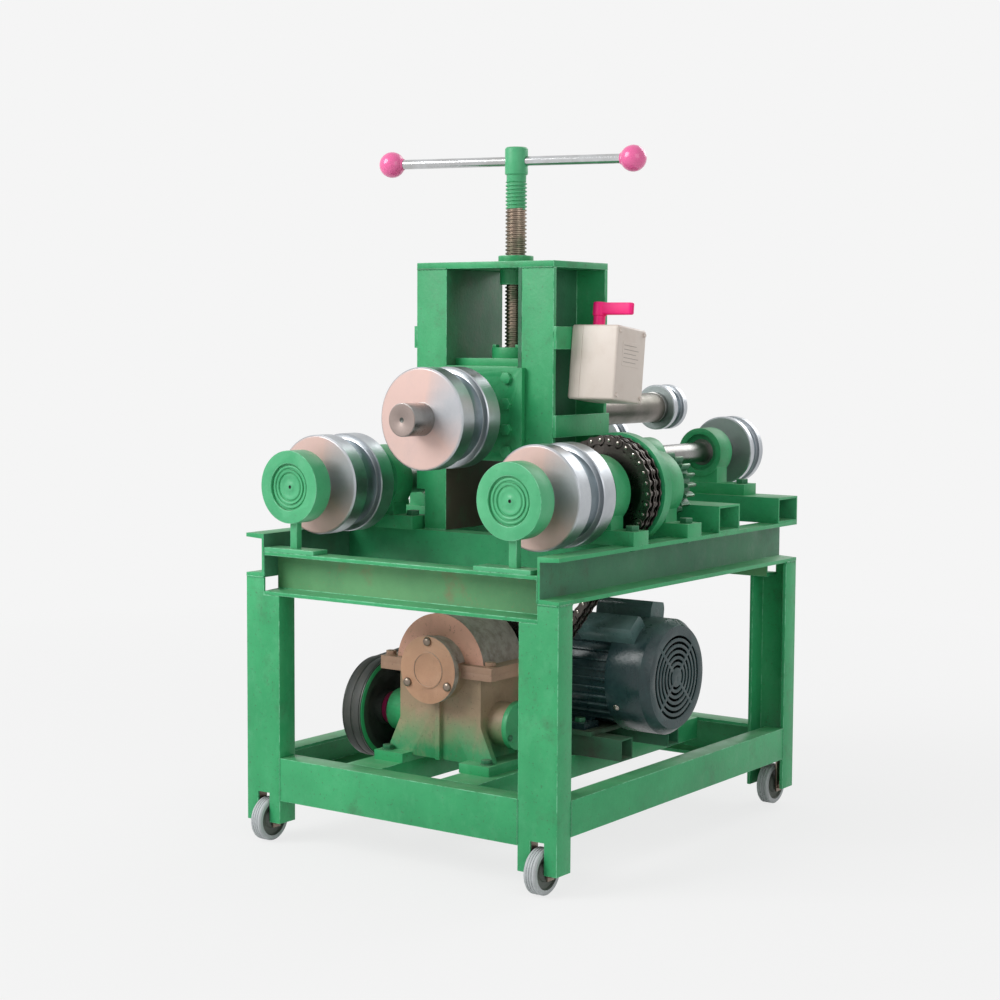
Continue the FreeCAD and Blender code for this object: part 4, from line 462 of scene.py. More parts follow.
# ------------------------------------------------------------------------------------ the bench
class Bench:
    """The modelling bench: starts meshes from primitives and shapes them in edit mode."""

    @staticmethod
    def pick(*pieces: Piece) -> None:
        """Leaves edit mode and selects pieces alone.

        Args:
            *pieces: The pieces, the first of them active, or none.
        """
        if bpy.context.mode != "OBJECT":
            bpy.ops.object.mode_set(mode="OBJECT")
        bpy.ops.object.select_all(action="DESELECT")
        for piece in pieces:
            piece.select_set(True)
        if pieces:
            bpy.context.view_layer.objects.active = pieces[0]

    @staticmethod
    def edit() -> None:
        """Opens the active piece in edit mode with all of it selected."""
        bpy.ops.object.mode_set(mode="EDIT")
        bpy.ops.mesh.select_mode(type="VERT")
        bpy.ops.mesh.select_all(action="SELECT")

    @staticmethod
    def face_out() -> None:
        """Turns all faces of the open mesh outwards."""
        bpy.ops.mesh.select_all(action="SELECT")
        bpy.ops.mesh.normals_make_consistent(inside=False)

    @staticmethod
    def settle(name: str) -> Piece:
        """Ends the work on the active piece.

        Args:
            name: The piece's name.

        Returns:
            The piece, with its place in its mesh.
        """
        bpy.ops.object.mode_set(mode="OBJECT")
        piece = bpy.context.object
        piece.name = name
        piece.data.name = name
        bpy.ops.object.transform_apply(location=True, rotation=True, scale=True)
        return piece

    @staticmethod
    def trace(points: Sequence[Point]) -> None:
        """Draws edges from a single vertex, and leaves them selected in edit mode.

        Args:
            points: The points that the edges join.
        """
        Bench.pick()
        bpy.ops.mesh.primitive_plane_add(size=MM, location=(0, 0, 0))
        Bench.edit()
        bpy.ops.mesh.merge(type="CENTER")
        spots = [Vector(point) * MM for point in points]
        bpy.ops.transform.translate(value=spots[0])
        for here, there in zip(spots, spots[1:]):
            bpy.ops.mesh.extrude_region_move(TRANSFORM_OT_translate={"value": there - here})
        bpy.ops.mesh.select_all(action="SELECT")

    @staticmethod
    def turned(name: str, profile: Profile, axis: Axis, centre: Point, steps: int = 64) -> Piece:
        """Spins a profile about an axis.

        Args:
            name: The piece's name.
            profile: Pairs of a place along the axis, from the centre, and a radius.
            axis: The axis to spin about.
            centre: A point on the axis.
            steps: How many sides the round has.

        Returns:
            The turned piece.
        """
        middle = Vector(centre)
        Bench.trace([middle + axis.along * along + axis.out * radius for along, radius in profile])
        bpy.ops.mesh.spin(steps=steps, angle=TURN, center=middle * MM, axis=axis.along)
        bpy.ops.mesh.select_all(action="SELECT")
        bpy.ops.mesh.remove_doubles(threshold=MERGE * MM)
        Bench.face_out()
        return Bench.settle(name)

    @staticmethod
    def prism(name: str, outline: Sequence[Point], shift: Point) -> Piece:
        """Fills an outline and pulls it out.

        Args:
            name: The piece's name.
            outline: The corners of the outline.
            shift: How far it is pulled out, and which way.

        Returns:
            The piece.
        """
        Bench.trace(outline)
        bpy.ops.mesh.edge_face_add()
        bpy.ops.mesh.extrude_region_move(TRANSFORM_OT_translate={"value": Vector(shift) * MM})
        Bench.face_out()
        return Bench.settle(name)

    @staticmethod
    def block(name: str, low: Point, high: Point, edge: float, segments: int = 1) -> Piece:
        """Makes a block with rounded edges.

        Args:
            name: The piece's name.
            low: Its lowest corner.
            high: Its highest corner.
            edge: The width of its edges.
            segments: How many steps an edge is rounded in.

        Returns:
            The block.
        """
        low, high = Vector(low), Vector(high)
        Bench.pick()
        bpy.ops.mesh.primitive_cube_add(size=1, location=(low + high) / 2 * MM, scale=(high - low) * MM)
        bpy.ops.object.transform_apply(location=True, rotation=True, scale=True)
        Bench.edit()
        bpy.ops.mesh.bevel(offset=edge * MM, segments=segments, affect="EDGES")
        return Bench.settle(name)

    @staticmethod
    def modify(piece: Piece, kind: str, **settings: object) -> None:
        """Applies a modifier to a piece.

        Args:
            piece: The piece.
            kind: The modifier's type.
            **settings: Values for the modifier's own properties.
        """
        Bench.pick(piece)
        modifier = piece.modifiers.new(kind, kind)
        for key, value in settings.items():
            setattr(modifier, key, value)
        bpy.ops.object.modifier_apply(modifier=modifier.name)

    @staticmethod
    def soften(piece: Piece, width: float, segments: int = 2, angle: float = 32, material: int = -1) -> None:
        """Rounds the edges of a piece that are sharper than an angle."""
        Bench.modify(piece, "BEVEL", width=width * MM, segments=segments, limit_method="ANGLE",
                     angle_limit=math.radians(angle), material=material)

    @staticmethod
    def carve(piece: Piece, cutter: Piece) -> None:
        """Cuts a piece out of another and takes it away."""
        Bench.modify(piece, "BOOLEAN", operation="DIFFERENCE", object=cutter, solver="EXACT")
        bpy.data.objects.remove(cutter)

    @staticmethod
    def metres(matrix: Matrix) -> Matrix:
        """Turns a matrix in millimetres into one in metres.

        Args:
            matrix: The matrix in millimetres.

        Returns:
            The matrix in metres.
        """
        shifted = matrix.copy()
        shifted.translation = matrix.translation * MM
        return shifted

    @staticmethod
    def place(piece: Piece, matrix: Matrix) -> Piece:
        """Moves a piece and puts its place in its mesh.

        Args:
            piece: The piece.
            matrix: The move.

        Returns:
            The piece.
        """
        Bench.pick(piece)
        piece.matrix_world = Bench.metres(matrix) @ piece.matrix_world
        return Bench.settle(piece.name)

    @staticmethod
    def join(name: str, pieces: Sequence[Piece]) -> Piece:
        """Makes several pieces one mesh.

        Args:
            name: The name of the whole.
            pieces: The pieces.

        Returns:
            The whole.
        """
        Bench.pick(*pieces)
        bpy.ops.object.join()
        return Bench.settle(name)

    @staticmethod
    def repeat(name: str, source: Piece, matrices: Sequence[Matrix]) -> Piece:
        """Copies a piece, each copy with its own mesh, and joins the copies.

        Args:
            name: The name of the whole.
            source: The piece, which is used up.
            matrices: The place of each copy.

        Returns:
            The whole.
        """
        copies = []
        for matrix in matrices:
            twin = bpy.data.objects.new(name, source.data.copy())
            twin.data.transform(Bench.metres(matrix))
            bpy.context.scene.collection.objects.link(twin)
            copies.append(twin)
        bpy.data.objects.remove(source)
        return Bench.join(name, copies)


def basis(along: Point, spot: Point) -> Matrix:
    """A matrix that turns Z to a direction and moves the origin to a spot."""
    turn = Vector((0, 0, 1)).rotation_difference(Vector(along)).to_matrix().to_4x4()
    return Matrix.Translation(Vector(spot)) @ turn


def flipped(profile: Profile) -> list[tuple[float, float]]:
    """The mirror image of a profile, drawn on from its last point."""
    return [(-place, radius) for place, radius in reversed(profile)]


@dataclass
class Dressing:
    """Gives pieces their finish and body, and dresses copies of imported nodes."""

    count: int = 0

    def wear(self, piece: Piece, finish: Finish, body: str, *nodes: str, spots: Spots = (),
             smooth: float = 38) -> None:
        """Finishes a new piece and hangs it on its body.

        Args:
            piece: The piece.
            finish: The finish it wears where no spot says otherwise.
            body: The body that it rides on.
            *nodes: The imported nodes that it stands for.
            spots: Finishes for the faces whose centre and normal pass a test.
            smooth: The angle up to which it is shaded smooth.
        """
        Bench.pick(piece)
        bpy.ops.object.shade_smooth_by_angle(angle=math.radians(smooth))
        mesh = piece.data
        if not (len(mesh.materials) and mesh.materials[0]):
            mesh.materials.clear()
            mesh.materials.append(finish.material())
        for other, test in spots:
            mesh.materials.append(other.material())
            for polygon in mesh.polygons:
                if test(polygon.center / MM, polygon.normal):
                    polygon.material_index = len(mesh.materials) - 1
        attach(piece, body)
        if nodes:
            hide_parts(*nodes)
        self.count += 1
        LOG.info("%s rides on %s", piece.name, body)

    def copy(self, node: str) -> Piece:
        """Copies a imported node's mesh and merges its loose faces.

        Args:
            node: The node's name.

        Returns:
            The copy.
        """
        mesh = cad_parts[node].data.copy()
        mesh.materials.clear()
        piece = bpy.data.objects.new(node + "_dressed", mesh)
        bpy.context.scene.collection.objects.link(piece)
        Bench.pick(piece)
        Bench.edit()
        bpy.ops.mesh.customdata_custom_splitnormals_clear()
        bpy.ops.mesh.remove_doubles(threshold=MERGE * MM)
        bpy.ops.mesh.dissolve_limited(angle_limit=math.radians(FLAT_ANGLE))
        bpy.ops.object.mode_set(mode="OBJECT")
        return piece

    def dress(self, node: str, finish: Finish, body: str, edge: float, segments: int = 2,
              spots: Spots = ()) -> None:
        """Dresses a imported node: its copy gets soft worn edges and a finish.

        Args:
            node: The node's name.
            finish: Its finish.
            body: The body that it rides on.
            edge: The width of its rounded edges.
            segments: How many steps an edge is rounded in.
            spots: Finishes for some of its faces.
        """
        piece = self.copy(node)
        piece.data.materials.append(finish.material())
        worn = isinstance(finish, Paint)
        if worn:
            piece.data.materials.append(finish.worn().material())
        Bench.soften(piece, edge, segments, material=1 if worn else -1)
        self.wear(piece, finish, body, node, spots=spots)

    def dress_all(self, body: str, *rows: tuple) -> None:
        """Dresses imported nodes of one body: each row is a node, its finish and what dress takes last."""
        for node, finish, *rest in rows:
            self.dress(node, finish, body, *rest)


dressing = Dressing()


# ------------------------------------------------------------------------------------ fasteners
@dataclass
class HexBolt:
    """A hex head with its washer, or a domed head, standing on the origin and pointing up."""

    across: float
    head: float
    washer: float = 0.0
    domed: bool = False
    seat: float = 1.8

    def model(self) -> Piece:
        """Models one bolt head.

        Returns:
            The head, with its washer if it has one.
        """
        radius = self.across / math.sqrt(3)
        if self.domed:
            profile = [(0, 0), (0, radius), (self.head * 0.35, radius)]
            for step in range(1, 6):
                angle = step * math.pi / 10
                profile.append((self.head * (0.35 + 0.65 * math.sin(angle)), radius * math.cos(angle)))
            return Bench.turned("bolt", profile, Axis.Z, (0, 0, 0), 20)
        Bench.pick()
        bpy.ops.mesh.primitive_cylinder_add(vertices=6, radius=radius * MM, depth=self.head * MM,
                                            location=(0, 0, self.head / 2 * MM))
        Bench.edit()
        bpy.ops.mesh.bevel(offset=self.across * 0.045 * MM, segments=2, affect="EDGES")
        head = Bench.settle("bolt")
        bore, rim, top = self.across * 0.3, self.washer, self.seat
        ring = [(0, bore), (0, rim), (top - 0.6, rim), (top, rim - 0.8), (top, bore)]
        washer = Bench.turned("washer", ring, Axis.Z, (0, 0, 0), 28)
        Bench.place(head, Matrix.Translation((0, 0, top)))
        return Bench.join("bolt", [head, washer])


@dataclass
class WeldBead:
    """A rippled bead of weld that lies in a seam."""

    radius: float = 2.6
    ripple: float = 3.4

    def model(self, start: Point, end: Point) -> Piece:
        """Models a bead between two points.

        Args:
            start: One end of the seam.
            end: The other end.

        Returns:
            The bead.
        """
        start, end = Vector(start), Vector(end)
        length = (end - start).length
        count = max(3, round(length / self.ripple))
        profile = [(0.0, 0.0)]
        for step in range(count):
            wobble = 0.82 + 0.18 * math.sin(step * 2.4)
            profile.append(((step + 0.25) * length / count, self.radius * wobble * 0.86))
            profile.append(((step + 0.6) * length / count, self.radius * wobble))
        profile.append((length, 0.0))
        bead = Bench.turned("bead", profile, Axis.Z, (0, 0, 0), 10)
        return Bench.place(bead, basis(end - start, start))


# ------------------------------------------------------------------------------------ frame
@dataclass
class Stand:
    """The floor frame: legs, channels, rails, cross tubes, deck bars, weld beads and casters."""

    body: str = "machine_frame"
    half_width: float = 347.0
    inner_x: float = 304.0
    front_y: float = -460.5
    back_y: float = 393.5
    flange: float = 43.0
    leg_width: float = 80.0
    leg_top: float = 493.0
    end_low: float = 461.0
    end_top: float = 541.0
    rail_top: float = 160.5
    rail_height: float = 80.0
    seam_gap: float = 0.8
    side_seam: float = 62.0
    web: float = 6.0
    rust_reach: float = 30.0
    wheel_inset: float = 16.0
    wheel_radius: float = 40.0
    wheel_half: float = 12.0
    wheel_bore: float = 6.05
    ribs: Triple = (-5.0, 0.0, 5.0)

    def build(self) -> None:
        """Dresses the frame and models its welds and wheels."""
        web, inside = self.inner_x + self.web, self.half_width - 0.5
        middle = (self.end_low + self.end_top) / 2
        rusty = (END_WEB, lambda spot, way: abs(way.y) > 0.8 and abs(spot.z - middle) < self.rust_reach)
        # The side channel webs take the grey-green: dust, and painted shade on the webs' side faces.
        dusty = (GREEN_WEB, lambda spot, way: abs(way.x) > 0.8 and abs(spot.x) < web)
        # The cross members' side faces take the shade green: grime, and painted shade inside the frame.
        grime_and_shade = (GREEN_SHADE, lambda spot, way: abs(way.x) < 0.5 and way.z < 0.8 and abs(spot.x) < inside)
        dressing.dress_all(
            self.body, ("legs", GREEN, 1.1), ("bottom_rails", GREEN, 1.1), ("deck_bars", GREEN, 1.1),
            ("end_channels", GREEN, 1.3, 2, [rusty]), ("side_channels", GREEN, 1.3, 2, [dusty]),
            ("cross_members", GREEN, 1.4, 2, [grime_and_shade]))
        beads = [WeldBead().model(*seam) for seam in self.seams()]
        dressing.wear(Bench.join("corner_welds", beads), WELD, self.body, smooth=60)
        dressing.dress("caster_forks", DARK, self.body, 0.5, 1)
        for place, end in (("front", -1), ("rear", 1)):
            for side in Side:
                self.wheel(side.value, end, f"{place}_{side.word}")

    def seams(self) -> list[tuple[Point, Point]]:
        """Works out every seam that is welded.

        Returns:
            The two ends of each seam.
        """
        seams = []
        for side in BOTH:
            for end, y in ((-1, self.front_y), (1, self.back_y)):
                inner, outer = side * self.inner_x, side * (self.half_width - self.seam_gap)
                leg = side * (self.half_width - self.leg_width)
                near, far = y - end * self.seam_gap, y - end * self.flange
                seams += [((inner, near, self.leg_top), (side * (self.half_width - 1), near, self.leg_top)),
                          ((outer, y - end * 2, self.leg_top), (outer, far, self.leg_top)),
                          ((inner, near, self.leg_top + 2), (inner, near, self.end_top)),
                          ((leg, near, self.rail_top - self.rail_height + 2), (leg, near, self.rail_top)),
                          ((outer, far, self.rail_top - self.side_seam), (outer, far, self.rail_top))]
        return seams

    def wheel(self, side: int, end: int, corner: str) -> None:
        """Models one wheel: a ribbed tread round a dished body with a hub.

        Args:
            side: -1 on the left, 1 on the right.
            end: -1 at the front, 1 at the rear.
            corner: The corner's name.
        """
        radius, half = self.wheel_radius, self.wheel_half
        y = (self.front_y if end < 0 else self.back_y) - end * self.wheel_inset
        centre = (side * (self.half_width - self.leg_width / 2), y, radius)
        rim = [(-half + 0.4, radius - 9), (-half, radius - 8), (-half, radius - 2.5), (-half + 2.5, radius)]
        tread = rim.copy()
        for rib in self.ribs:
            tread += [(rib - 1.2, radius), (rib - 0.7, radius - 1.2), (rib + 0.7, radius - 1.2),
                      (rib + 1.2, radius)]
        tread += flipped(rim) + rim[:1]
        body = "wheel_" + corner
        dressing.wear(Bench.turned("tread_" + corner, tread, Axis.X, centre, 56), TREAD, body)
        dish = [(-half + 0.4, radius - 9), (-half + 5, radius - 11), (-half + 6, 18), (-half + 1, 15),
                (-half, 13.5), (-half, self.wheel_bore)]
        hub = Bench.turned("wheel_body_" + corner, dish + flipped(dish), Axis.X, centre, 48)
        dressing.wear(hub, WHEEL_BODY, body, "caster_wheel_" + corner)


# ------------------------------------------------------------------------------------ housings
@dataclass
class Housings:
    """The ring housings of the lower spindles and the bearings that show in them."""

    body: str = "machine_frame"
    shaft_x: float = 244.0
    shaft_z: float = 662.0
    face_y: float = -453.5
    rear_y: float = 150.0
    race: float = 31.0
    bore: float = 43.0
    centre_hole: float = 2.6

    def build(self) -> None:
        """Dresses the housings and models the bearing faces."""
        # Behind rear_y the bearing faces are green paint, in the darker green that carries painted shade.
        painted = (GREEN_SHADE, lambda spot, way: spot.y > self.rear_y and abs(way.y) > 0.8)
        dressing.dress_all(
            self.body, ("front_bearing_posts", GREEN_PALE, 1.2, 3), ("pillow_blocks", GREEN, 1.2),
            ("bearing_rings", BEARING, 0.3, 1, [painted]), ("frame_bolts", GREEN_DARK, 0.7))
        for side in Side:
            self.face(side)

    def face(self, side: Side) -> None:
        """Models the outer race and seal of a front bearing, and the race and shaft end in it.

        Args:
            side: The spindle's side.
        """
        x, z, race, lip = side.value * self.shaft_x, self.shaft_z, self.race, self.bore - 0.2
        seal = [(0.0, lip), (-0.4, lip), (-0.4, 39.8), (-2.4, 39.0), (-3.0, 38.2), (-3.0, 35.6), (-2.4, 34.8),
                (-0.5, 34.2), (-0.5, race + 0.4), (0.0, race + 0.4), (0.0, lip)]
        piece = Bench.turned("front_bearing_seal_" + side.word, seal, Axis.Y, (x, self.face_y, z), 72)
        dressing.wear(piece, GREEN_PALE, self.body)
        nose = [(0.0, race), (-2.6, race), (-3.2, race - 0.6), (-3.2, 28.0), (-2.6, 27.2), (-0.2, 26.8),
                (-0.2, 24.8), (-1.6, 23.8), (-2.4, 22.8), (-2.4, 18.0), (-2.1, 17.4), (-2.1, 8.2),
                (-2.4, 7.8), (-2.4, 3.2), (0.8, 1.8), (0.8, 0.0)]
        piece = Bench.turned(side.word + "_spindle_nose", nose, Axis.Y, (x, self.face_y, z), 72)
        # The centre hole is painted dark: painted shade of a deep hole.
        hole = (IRON, lambda spot, way: math.hypot(spot.x - x, spot.z - z) < self.centre_hole)
        dressing.wear(piece, GREEN_PALE, side.word + "_spindle", spots=[hole])


# ------------------------------------------------------------------------------------ rolls
@dataclass
class Roll:
    """A grooved roll: two lands with a wide groove between, chamfered, with a stepped face."""

    name: str
    body: str
    centre: Triple
    widths: Triple
    radius: float
    groove: float
    bore: float
    chamfer: float = 2.2
    face: Metal = ROLL_FACE

    def build(self, node: str) -> None:
        """Models the roll.

        Args:
            node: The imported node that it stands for.
        """
        first, gap, last = self.widths
        far, end = first + gap, first + gap + last
        cut, radius, groove, bore = self.chamfer, self.radius, self.groove, self.bore + 0.1
        profile = [(0, bore), (0, radius - cut - 1.5), (0.35, radius - cut - 0.9), (0.35, radius - cut),
                   (cut, radius), (first - cut, radius), (first, radius - cut * 0.7), (first, groove + 2.5),
                   (first + 0.8, groove + 0.8), (first + 2.5, groove), (far - 2.5, groove),
                   (far - 0.8, groove + 0.8), (far, groove + 2.5), (far, radius - cut * 0.7),
                   (far + cut, radius), (end - cut, radius), (end, radius - cut), (end, bore), (0, bore)]
        x, y, z = self.centre
        # The groove floor takes the darker steel: painted shade.
        low = (ROLL_GROOVE_SHADE,
               lambda spot, way: abs(way.y) < 0.6 and math.hypot(spot.x - x, spot.z - z) < groove + 3)
        # The front face takes the roll's face finish, with its painted reflection and painted highlight.
        face = (replace(self.face, name=self.name + "_face", centre=self.centre),
                lambda spot, way: way.y < -0.9 and spot.y < y + 1)
        piece = Bench.turned(self.name, profile, Axis.Y, self.centre, 128)
        dressing.wear(piece, ROLL_RIM, self.body, node, spots=[low, face], smooth=30)


@dataclass
class Spindles:
    """The five spindles with their rolls, keys and spacers, and the gears between them."""

    shaft_x: float = 244.0
    shaft_z: float = 662.0
    top_z: float = 790.0
    rear_x: float = 158.5
    rear_z: float = 705.66
    roll_y: float = -380.5
    rear_y: float = 421.5
    top_step: float = 2.0
    nose_y: float = -437.0
    front_roll: Triple = (92.0, 80.0, 25.0)
    top_roll: Triple = (92.0, 80.0, 30.0)
    land: Triple = (36.0, 40.0, 38.0)
    rear_roll: Triple = (69.0, 60.0, 20.0)
    rear_land: Triple = (14.0, 22.0, 14.0)
    top_rear_roll: Triple = (47.0, 39.0, 25.0)
    top_rear_land: Triple = (15.0, 24.0, 15.0)
    rear_chamfer: float = 1.4
    tube_y: float = 78.0
    tube_length: float = 340.0
    tube: tuple[float, float] = (25.2, 30.7)
    gear_y: tuple[float, float] = (33.5, 65.5)
    tip_radius: float = 58.0
    centre_hole: float = 3.4

    def build(self) -> None:
        """Models the rolls and dresses the shafts and gears."""
        for side in Side:
            self.lower(side)
        self.top()
        for place in ("right", "middle", "left"):
            dressing.dress("idler_" + place, GREEN_WEB, "idler_" + place + "_gear", 0.5, 1)
        dressing.dress("idler_bracket", GREEN_DARK, "machine_frame", 0.8, 1)

    def lower(self, side: Side) -> None:
        """Models the front and the rear lower roll of one side, and dresses their shafts and the gear.

        Args:
            side: The side.
        """
        word, x = side.word, side.value * self.shaft_x
        front, rear = word + "_spindle", "rear_" + word + "_spindle"
        tips = (GEAR_TIP, lambda spot, way: math.hypot(spot.x - x, spot.z - self.shaft_z) > self.tip_radius)
        gears = (GREEN_WEB, lambda spot, way: self.gear_y[0] < spot.y < self.gear_y[1])
        Roll(word + "_roll_turned", front, (x, self.roll_y, self.shaft_z), self.land,
             *self.front_roll).build(word + "_roll")
        Roll("rear_" + word + "_roll_turned", rear, (side.value * self.rear_x, self.rear_y, self.rear_z),
             self.rear_land, *self.rear_roll, self.rear_chamfer, ROLL_BACK).build("rear_" + word + "_roll")
        dressing.dress(word + "_shaft", SHAFT, front, 0.6, 1)
        dressing.dress("rear_" + word + "_shaft", SHAFT, rear, 0.5, 1, [gears])
        dressing.dress(word + "_gear", GREEN_WEB, front, 0.5, 1, [tips])

    def top(self) -> None:
        """Models the top rolls, the spacer tube and the turned end of the top spindle."""
        body = "top_spindle"
        Roll("top_roll_turned", body, (0, self.roll_y - self.top_step, self.top_z), self.land,
             *self.top_roll).build("top_rolls")
        Roll("top_rear_roll_turned", body, (0, self.rear_y - self.top_step, self.top_z), self.top_rear_land,
             *self.top_rear_roll, self.rear_chamfer, ROLL_BACK).build("top_rolls")
        dressing.dress("top_shaft", SHAFT, body, 0.9)
        bore, radius = self.tube
        length, edge = self.tube_length, radius - 1.2
        tube = [(0, bore), (0, edge), (1.2, radius), (length - 1.2, radius), (length, edge), (length, bore),
                (0, bore)]
        piece = Bench.turned("top_spacer_tube", tube, Axis.Y, (0, self.tube_y, self.top_z), 72)
        dressing.wear(piece, SLEEVE, body)
        end = [(1.0, 28.5), (-0.6, 28.5), (-1.1, 27.9), (-1.1, 4.6), (0.4, 2.2), (0.4, 0.0)]
        piece = Bench.turned("top_spindle_end", end, Axis.Y, (0, self.nose_y, self.top_z), 72)
        # The centre hole is painted dark: painted shade of a deep hole.
        hole = (IRON, lambda spot, way: math.hypot(spot.x, spot.z - self.top_z) < self.centre_hole)
        dressing.wear(piece, SHAFT_END, body, spots=[hole])


# ------------------------------------------------------------------------------------ tower
@dataclass
class Tower:
    """The welded tower, the slide in it, and the keepers and bolts of the slide."""

    body: str = "machine_frame"
    half: float = 155.0
    window: float = 85.0
    middle_y: float = -106.0
    half_depth: float = 90.0
    low: float = 573.0
    top: float = 1061.0
    wall: float = 8.0
    web: float = 10.0
    top_bead: float = 2.2
    foot_bead: float = 2.6
    foot_short: float = 20.0

    def build(self) -> None:
        """Dresses the tower and the slide, and models their welds."""
        rim, wall = self.window + self.wall, self.half - self.web
        inner = (WINDOW_WEB, lambda spot, way: abs(way.x) > 0.8 and abs(spot.x) < rim)
        # The inner sides of the column channels take the dark green: painted shade between the flanges.
        deep = (GREEN_DARK, lambda spot, way: abs(way.x) > 0.8 and rim < abs(spot.x) < wall)
        dressing.dress_all(self.body, ("columns", GREEN, 1.4, 3, [inner, deep]), ("tower_plates", GREEN, 1.0),
                           ("guide_liner", GREEN_DARK, 0.8, 1), ("screw_nut", GREEN, 1.6, 3))
        dressing.dress_all("carriage", ("carriage_body", GREEN, 1.1), ("carriage_keepers", GREEN, 1.2),
                           ("carriage_hardware", GREEN, 0.8))
        beads = []
        for side in BOTH:
            for y in (self.middle_y - self.half_depth, self.middle_y + self.half_depth):
                for radius, short, z in ((self.top_bead, 0, self.top),
                                         (self.foot_bead, self.foot_short, self.low)):
                    start, end = (side * self.window, y, z), (side * (self.half - short), y, z)
                    beads.append(WeldBead(radius).model(start, end))
        dressing.wear(Bench.join("tower_welds", beads), WELD, self.body, smooth=60)


# ------------------------------------------------------------------------------------ screw
@dataclass
class PressureScrew:
    """The pressure screw with its thread, hub and turning bar."""

    body: str = "pressure_screw"
    centre: tuple[float, float] = (0.0, -93.5)
    foot_low: float = 896.4
    foot_top: float = 907.6
    foot_radius: float = 28.0
    thread_low: float = 907.0
    thread_top: float = 1224.0
    painted: float = 50.0
    pitch: float = 7.0
    crest: float = 20.0
    root: float = 17.2
    neck: float = 18.5
    hub: float = 21.5
    hub_low: float = 1237.0
    hub_top: float = 1288.0
    bar_z: float = 1262.0
    bar_radius: float = 9.0
    bar_half: float = 249.0
    bar_slip: float = -13.0
    bar_angle: float = 14.3
    ball_radius: float = 24.5
    ball_half: float = 241.0
    collar: tuple[float, float] = (24.4, 20.0)
    ball_inside: float = 29.0
    ball_outside: float = 10.0

    def build(self) -> None:
        """Models the screw, the hub and the bar."""
        self.thread()
        self.head()
        self.bar()

    def across(self) -> Matrix:
        """The frame of the turning bar, with X along it."""
        middle = Matrix.Translation((*self.centre, self.bar_z))
        return middle @ Matrix.Rotation(math.radians(self.bar_angle), 4, "Z")

    def thread(self) -> None:
        """Models the square-shouldered thread with the screw modifier."""
        pitch, crest, root = self.pitch, self.crest, self.root
        Bench.trace([(root, 0, 0), (root, 0, pitch * 0.34), (crest, 0, pitch * 0.5),
                     (crest, 0, pitch * 0.84), (root, 0, pitch)])
        screw = Bench.settle("screw_thread")
        turns = math.ceil((self.thread_top - self.thread_low) / pitch) + 1
        Bench.modify(screw, "SCREW", screw_offset=pitch * MM, iterations=turns, steps=40, render_steps=40,
                     use_merge_vertices=True, merge_threshold=MERGE * MM)
        Bench.place(screw, Matrix.Translation((*self.centre, self.thread_low - pitch)))
        for height, way in ((self.thread_low, -1), (self.thread_top, 1)):
            Bench.pick(screw)
            Bench.edit()
            bpy.ops.mesh.bisect(plane_co=(0, 0, height * MM), plane_no=(0, 0, way), use_fill=True,
                                clear_outer=True)
        Bench.face_out()
        bpy.ops.object.mode_set(mode="OBJECT")
        painted = (GREEN_PALE, lambda spot, way: spot.z > self.thread_top - self.painted)
        dressing.wear(screw, SCREW_STEEL, self.body, spots=[painted], smooth=30)

    def head(self) -> None:
        """Models the neck and the chamfered hub, bored for the bar, and the foot in its keeper."""
        low, top, hub = self.hub_low, self.hub_top, self.hub
        profile = [(self.thread_top, 0), (self.thread_top, self.neck), (low, self.neck), (low, hub - 1.5),
                   (low + 1.5, hub), (top - 3, hub), (top, hub - 3), (top, 5.5), (top - 3, 3.5), (top - 3, 0)]
        piece = Bench.turned("screw_hub", profile, Axis.Z, (*self.centre, 0), 48)
        Bench.pick()
        bpy.ops.mesh.primitive_cylinder_add(vertices=40, radius=(self.bar_radius + 0.4) * MM, depth=80 * MM)
        bore = Bench.place(bpy.context.object, self.across() @ Matrix.Rotation(math.pi / 2, 4, "Y"))
        Bench.carve(piece, bore)
        Bench.soften(piece, 0.6)
        dressing.wear(piece, GREEN_PALE, self.body, "screw", smooth=30)
        foot = [(self.foot_low, 0), (self.foot_low, self.foot_radius), (self.foot_top, self.foot_radius),
                (self.foot_top, 0)]
        piece = Bench.turned("screw_foot", foot, Axis.Z, (*self.centre, 0), 40)
        dressing.wear(piece, SCREW_STEEL, self.body)

    def bar(self) -> None:
        """Models the sliding bar with its chamfered ends and the two balls on it."""
        half, radius, size = self.bar_half, self.bar_radius, self.ball_radius
        ends = [(-half, 0), (-half, radius - 1.5), (-half + 1.5, radius)]
        pieces = [Bench.turned("bar", ends + flipped(ends), Axis.X, (0, 0, 0), 36)]
        round_part = [(-size * math.cos(math.pi * step / 24), size * math.sin(math.pi * step / 24))
                      for step in range(1, 24)]
        for side in BOTH:
            centre = (side * self.ball_half, 0, 0)
            pieces.append(Bench.turned("ball", [(-size, 0), *round_part, (size, 0)], Axis.X, centre, 48))
            far, near = (-side * place for place in self.collar)
            collar = [(far, radius), (far, radius + 1.6), (near, radius + 4), (near, radius), (far, radius)]
            pieces.append(Bench.turned("ball_collar", collar, Axis.X, centre, 32))
        place = self.across() @ Matrix.Translation((self.bar_slip, 0, 0))
        bar = Bench.place(Bench.join("turning_bar", pieces), place)
        dressing.wear(bar, BRIGHT, "turning_bar", "handle_bar", spots=[(BALL_PINK, self.in_ball)], smooth=40)

    def in_ball(self, spot: Vector, way: Vector) -> bool:
        """Tells whether a face belongs to a ball or its collar.

        Args:
            spot: The face's centre.
            way: The face's normal.

        Returns:
            True for a face of a ball or a collar.
        """
        turn = math.radians(self.bar_angle)
        axis = Vector((math.cos(turn), math.sin(turn), 0))
        reach = spot - Vector((*self.centre, self.bar_z)) - axis * self.bar_slip
        along = reach.dot(axis)
        off = (reach - axis * along).length
        outside = off > self.bar_radius + 0.5 or abs(along) > self.ball_half + self.ball_outside
        return outside and abs(along) > self.ball_half - self.ball_inside


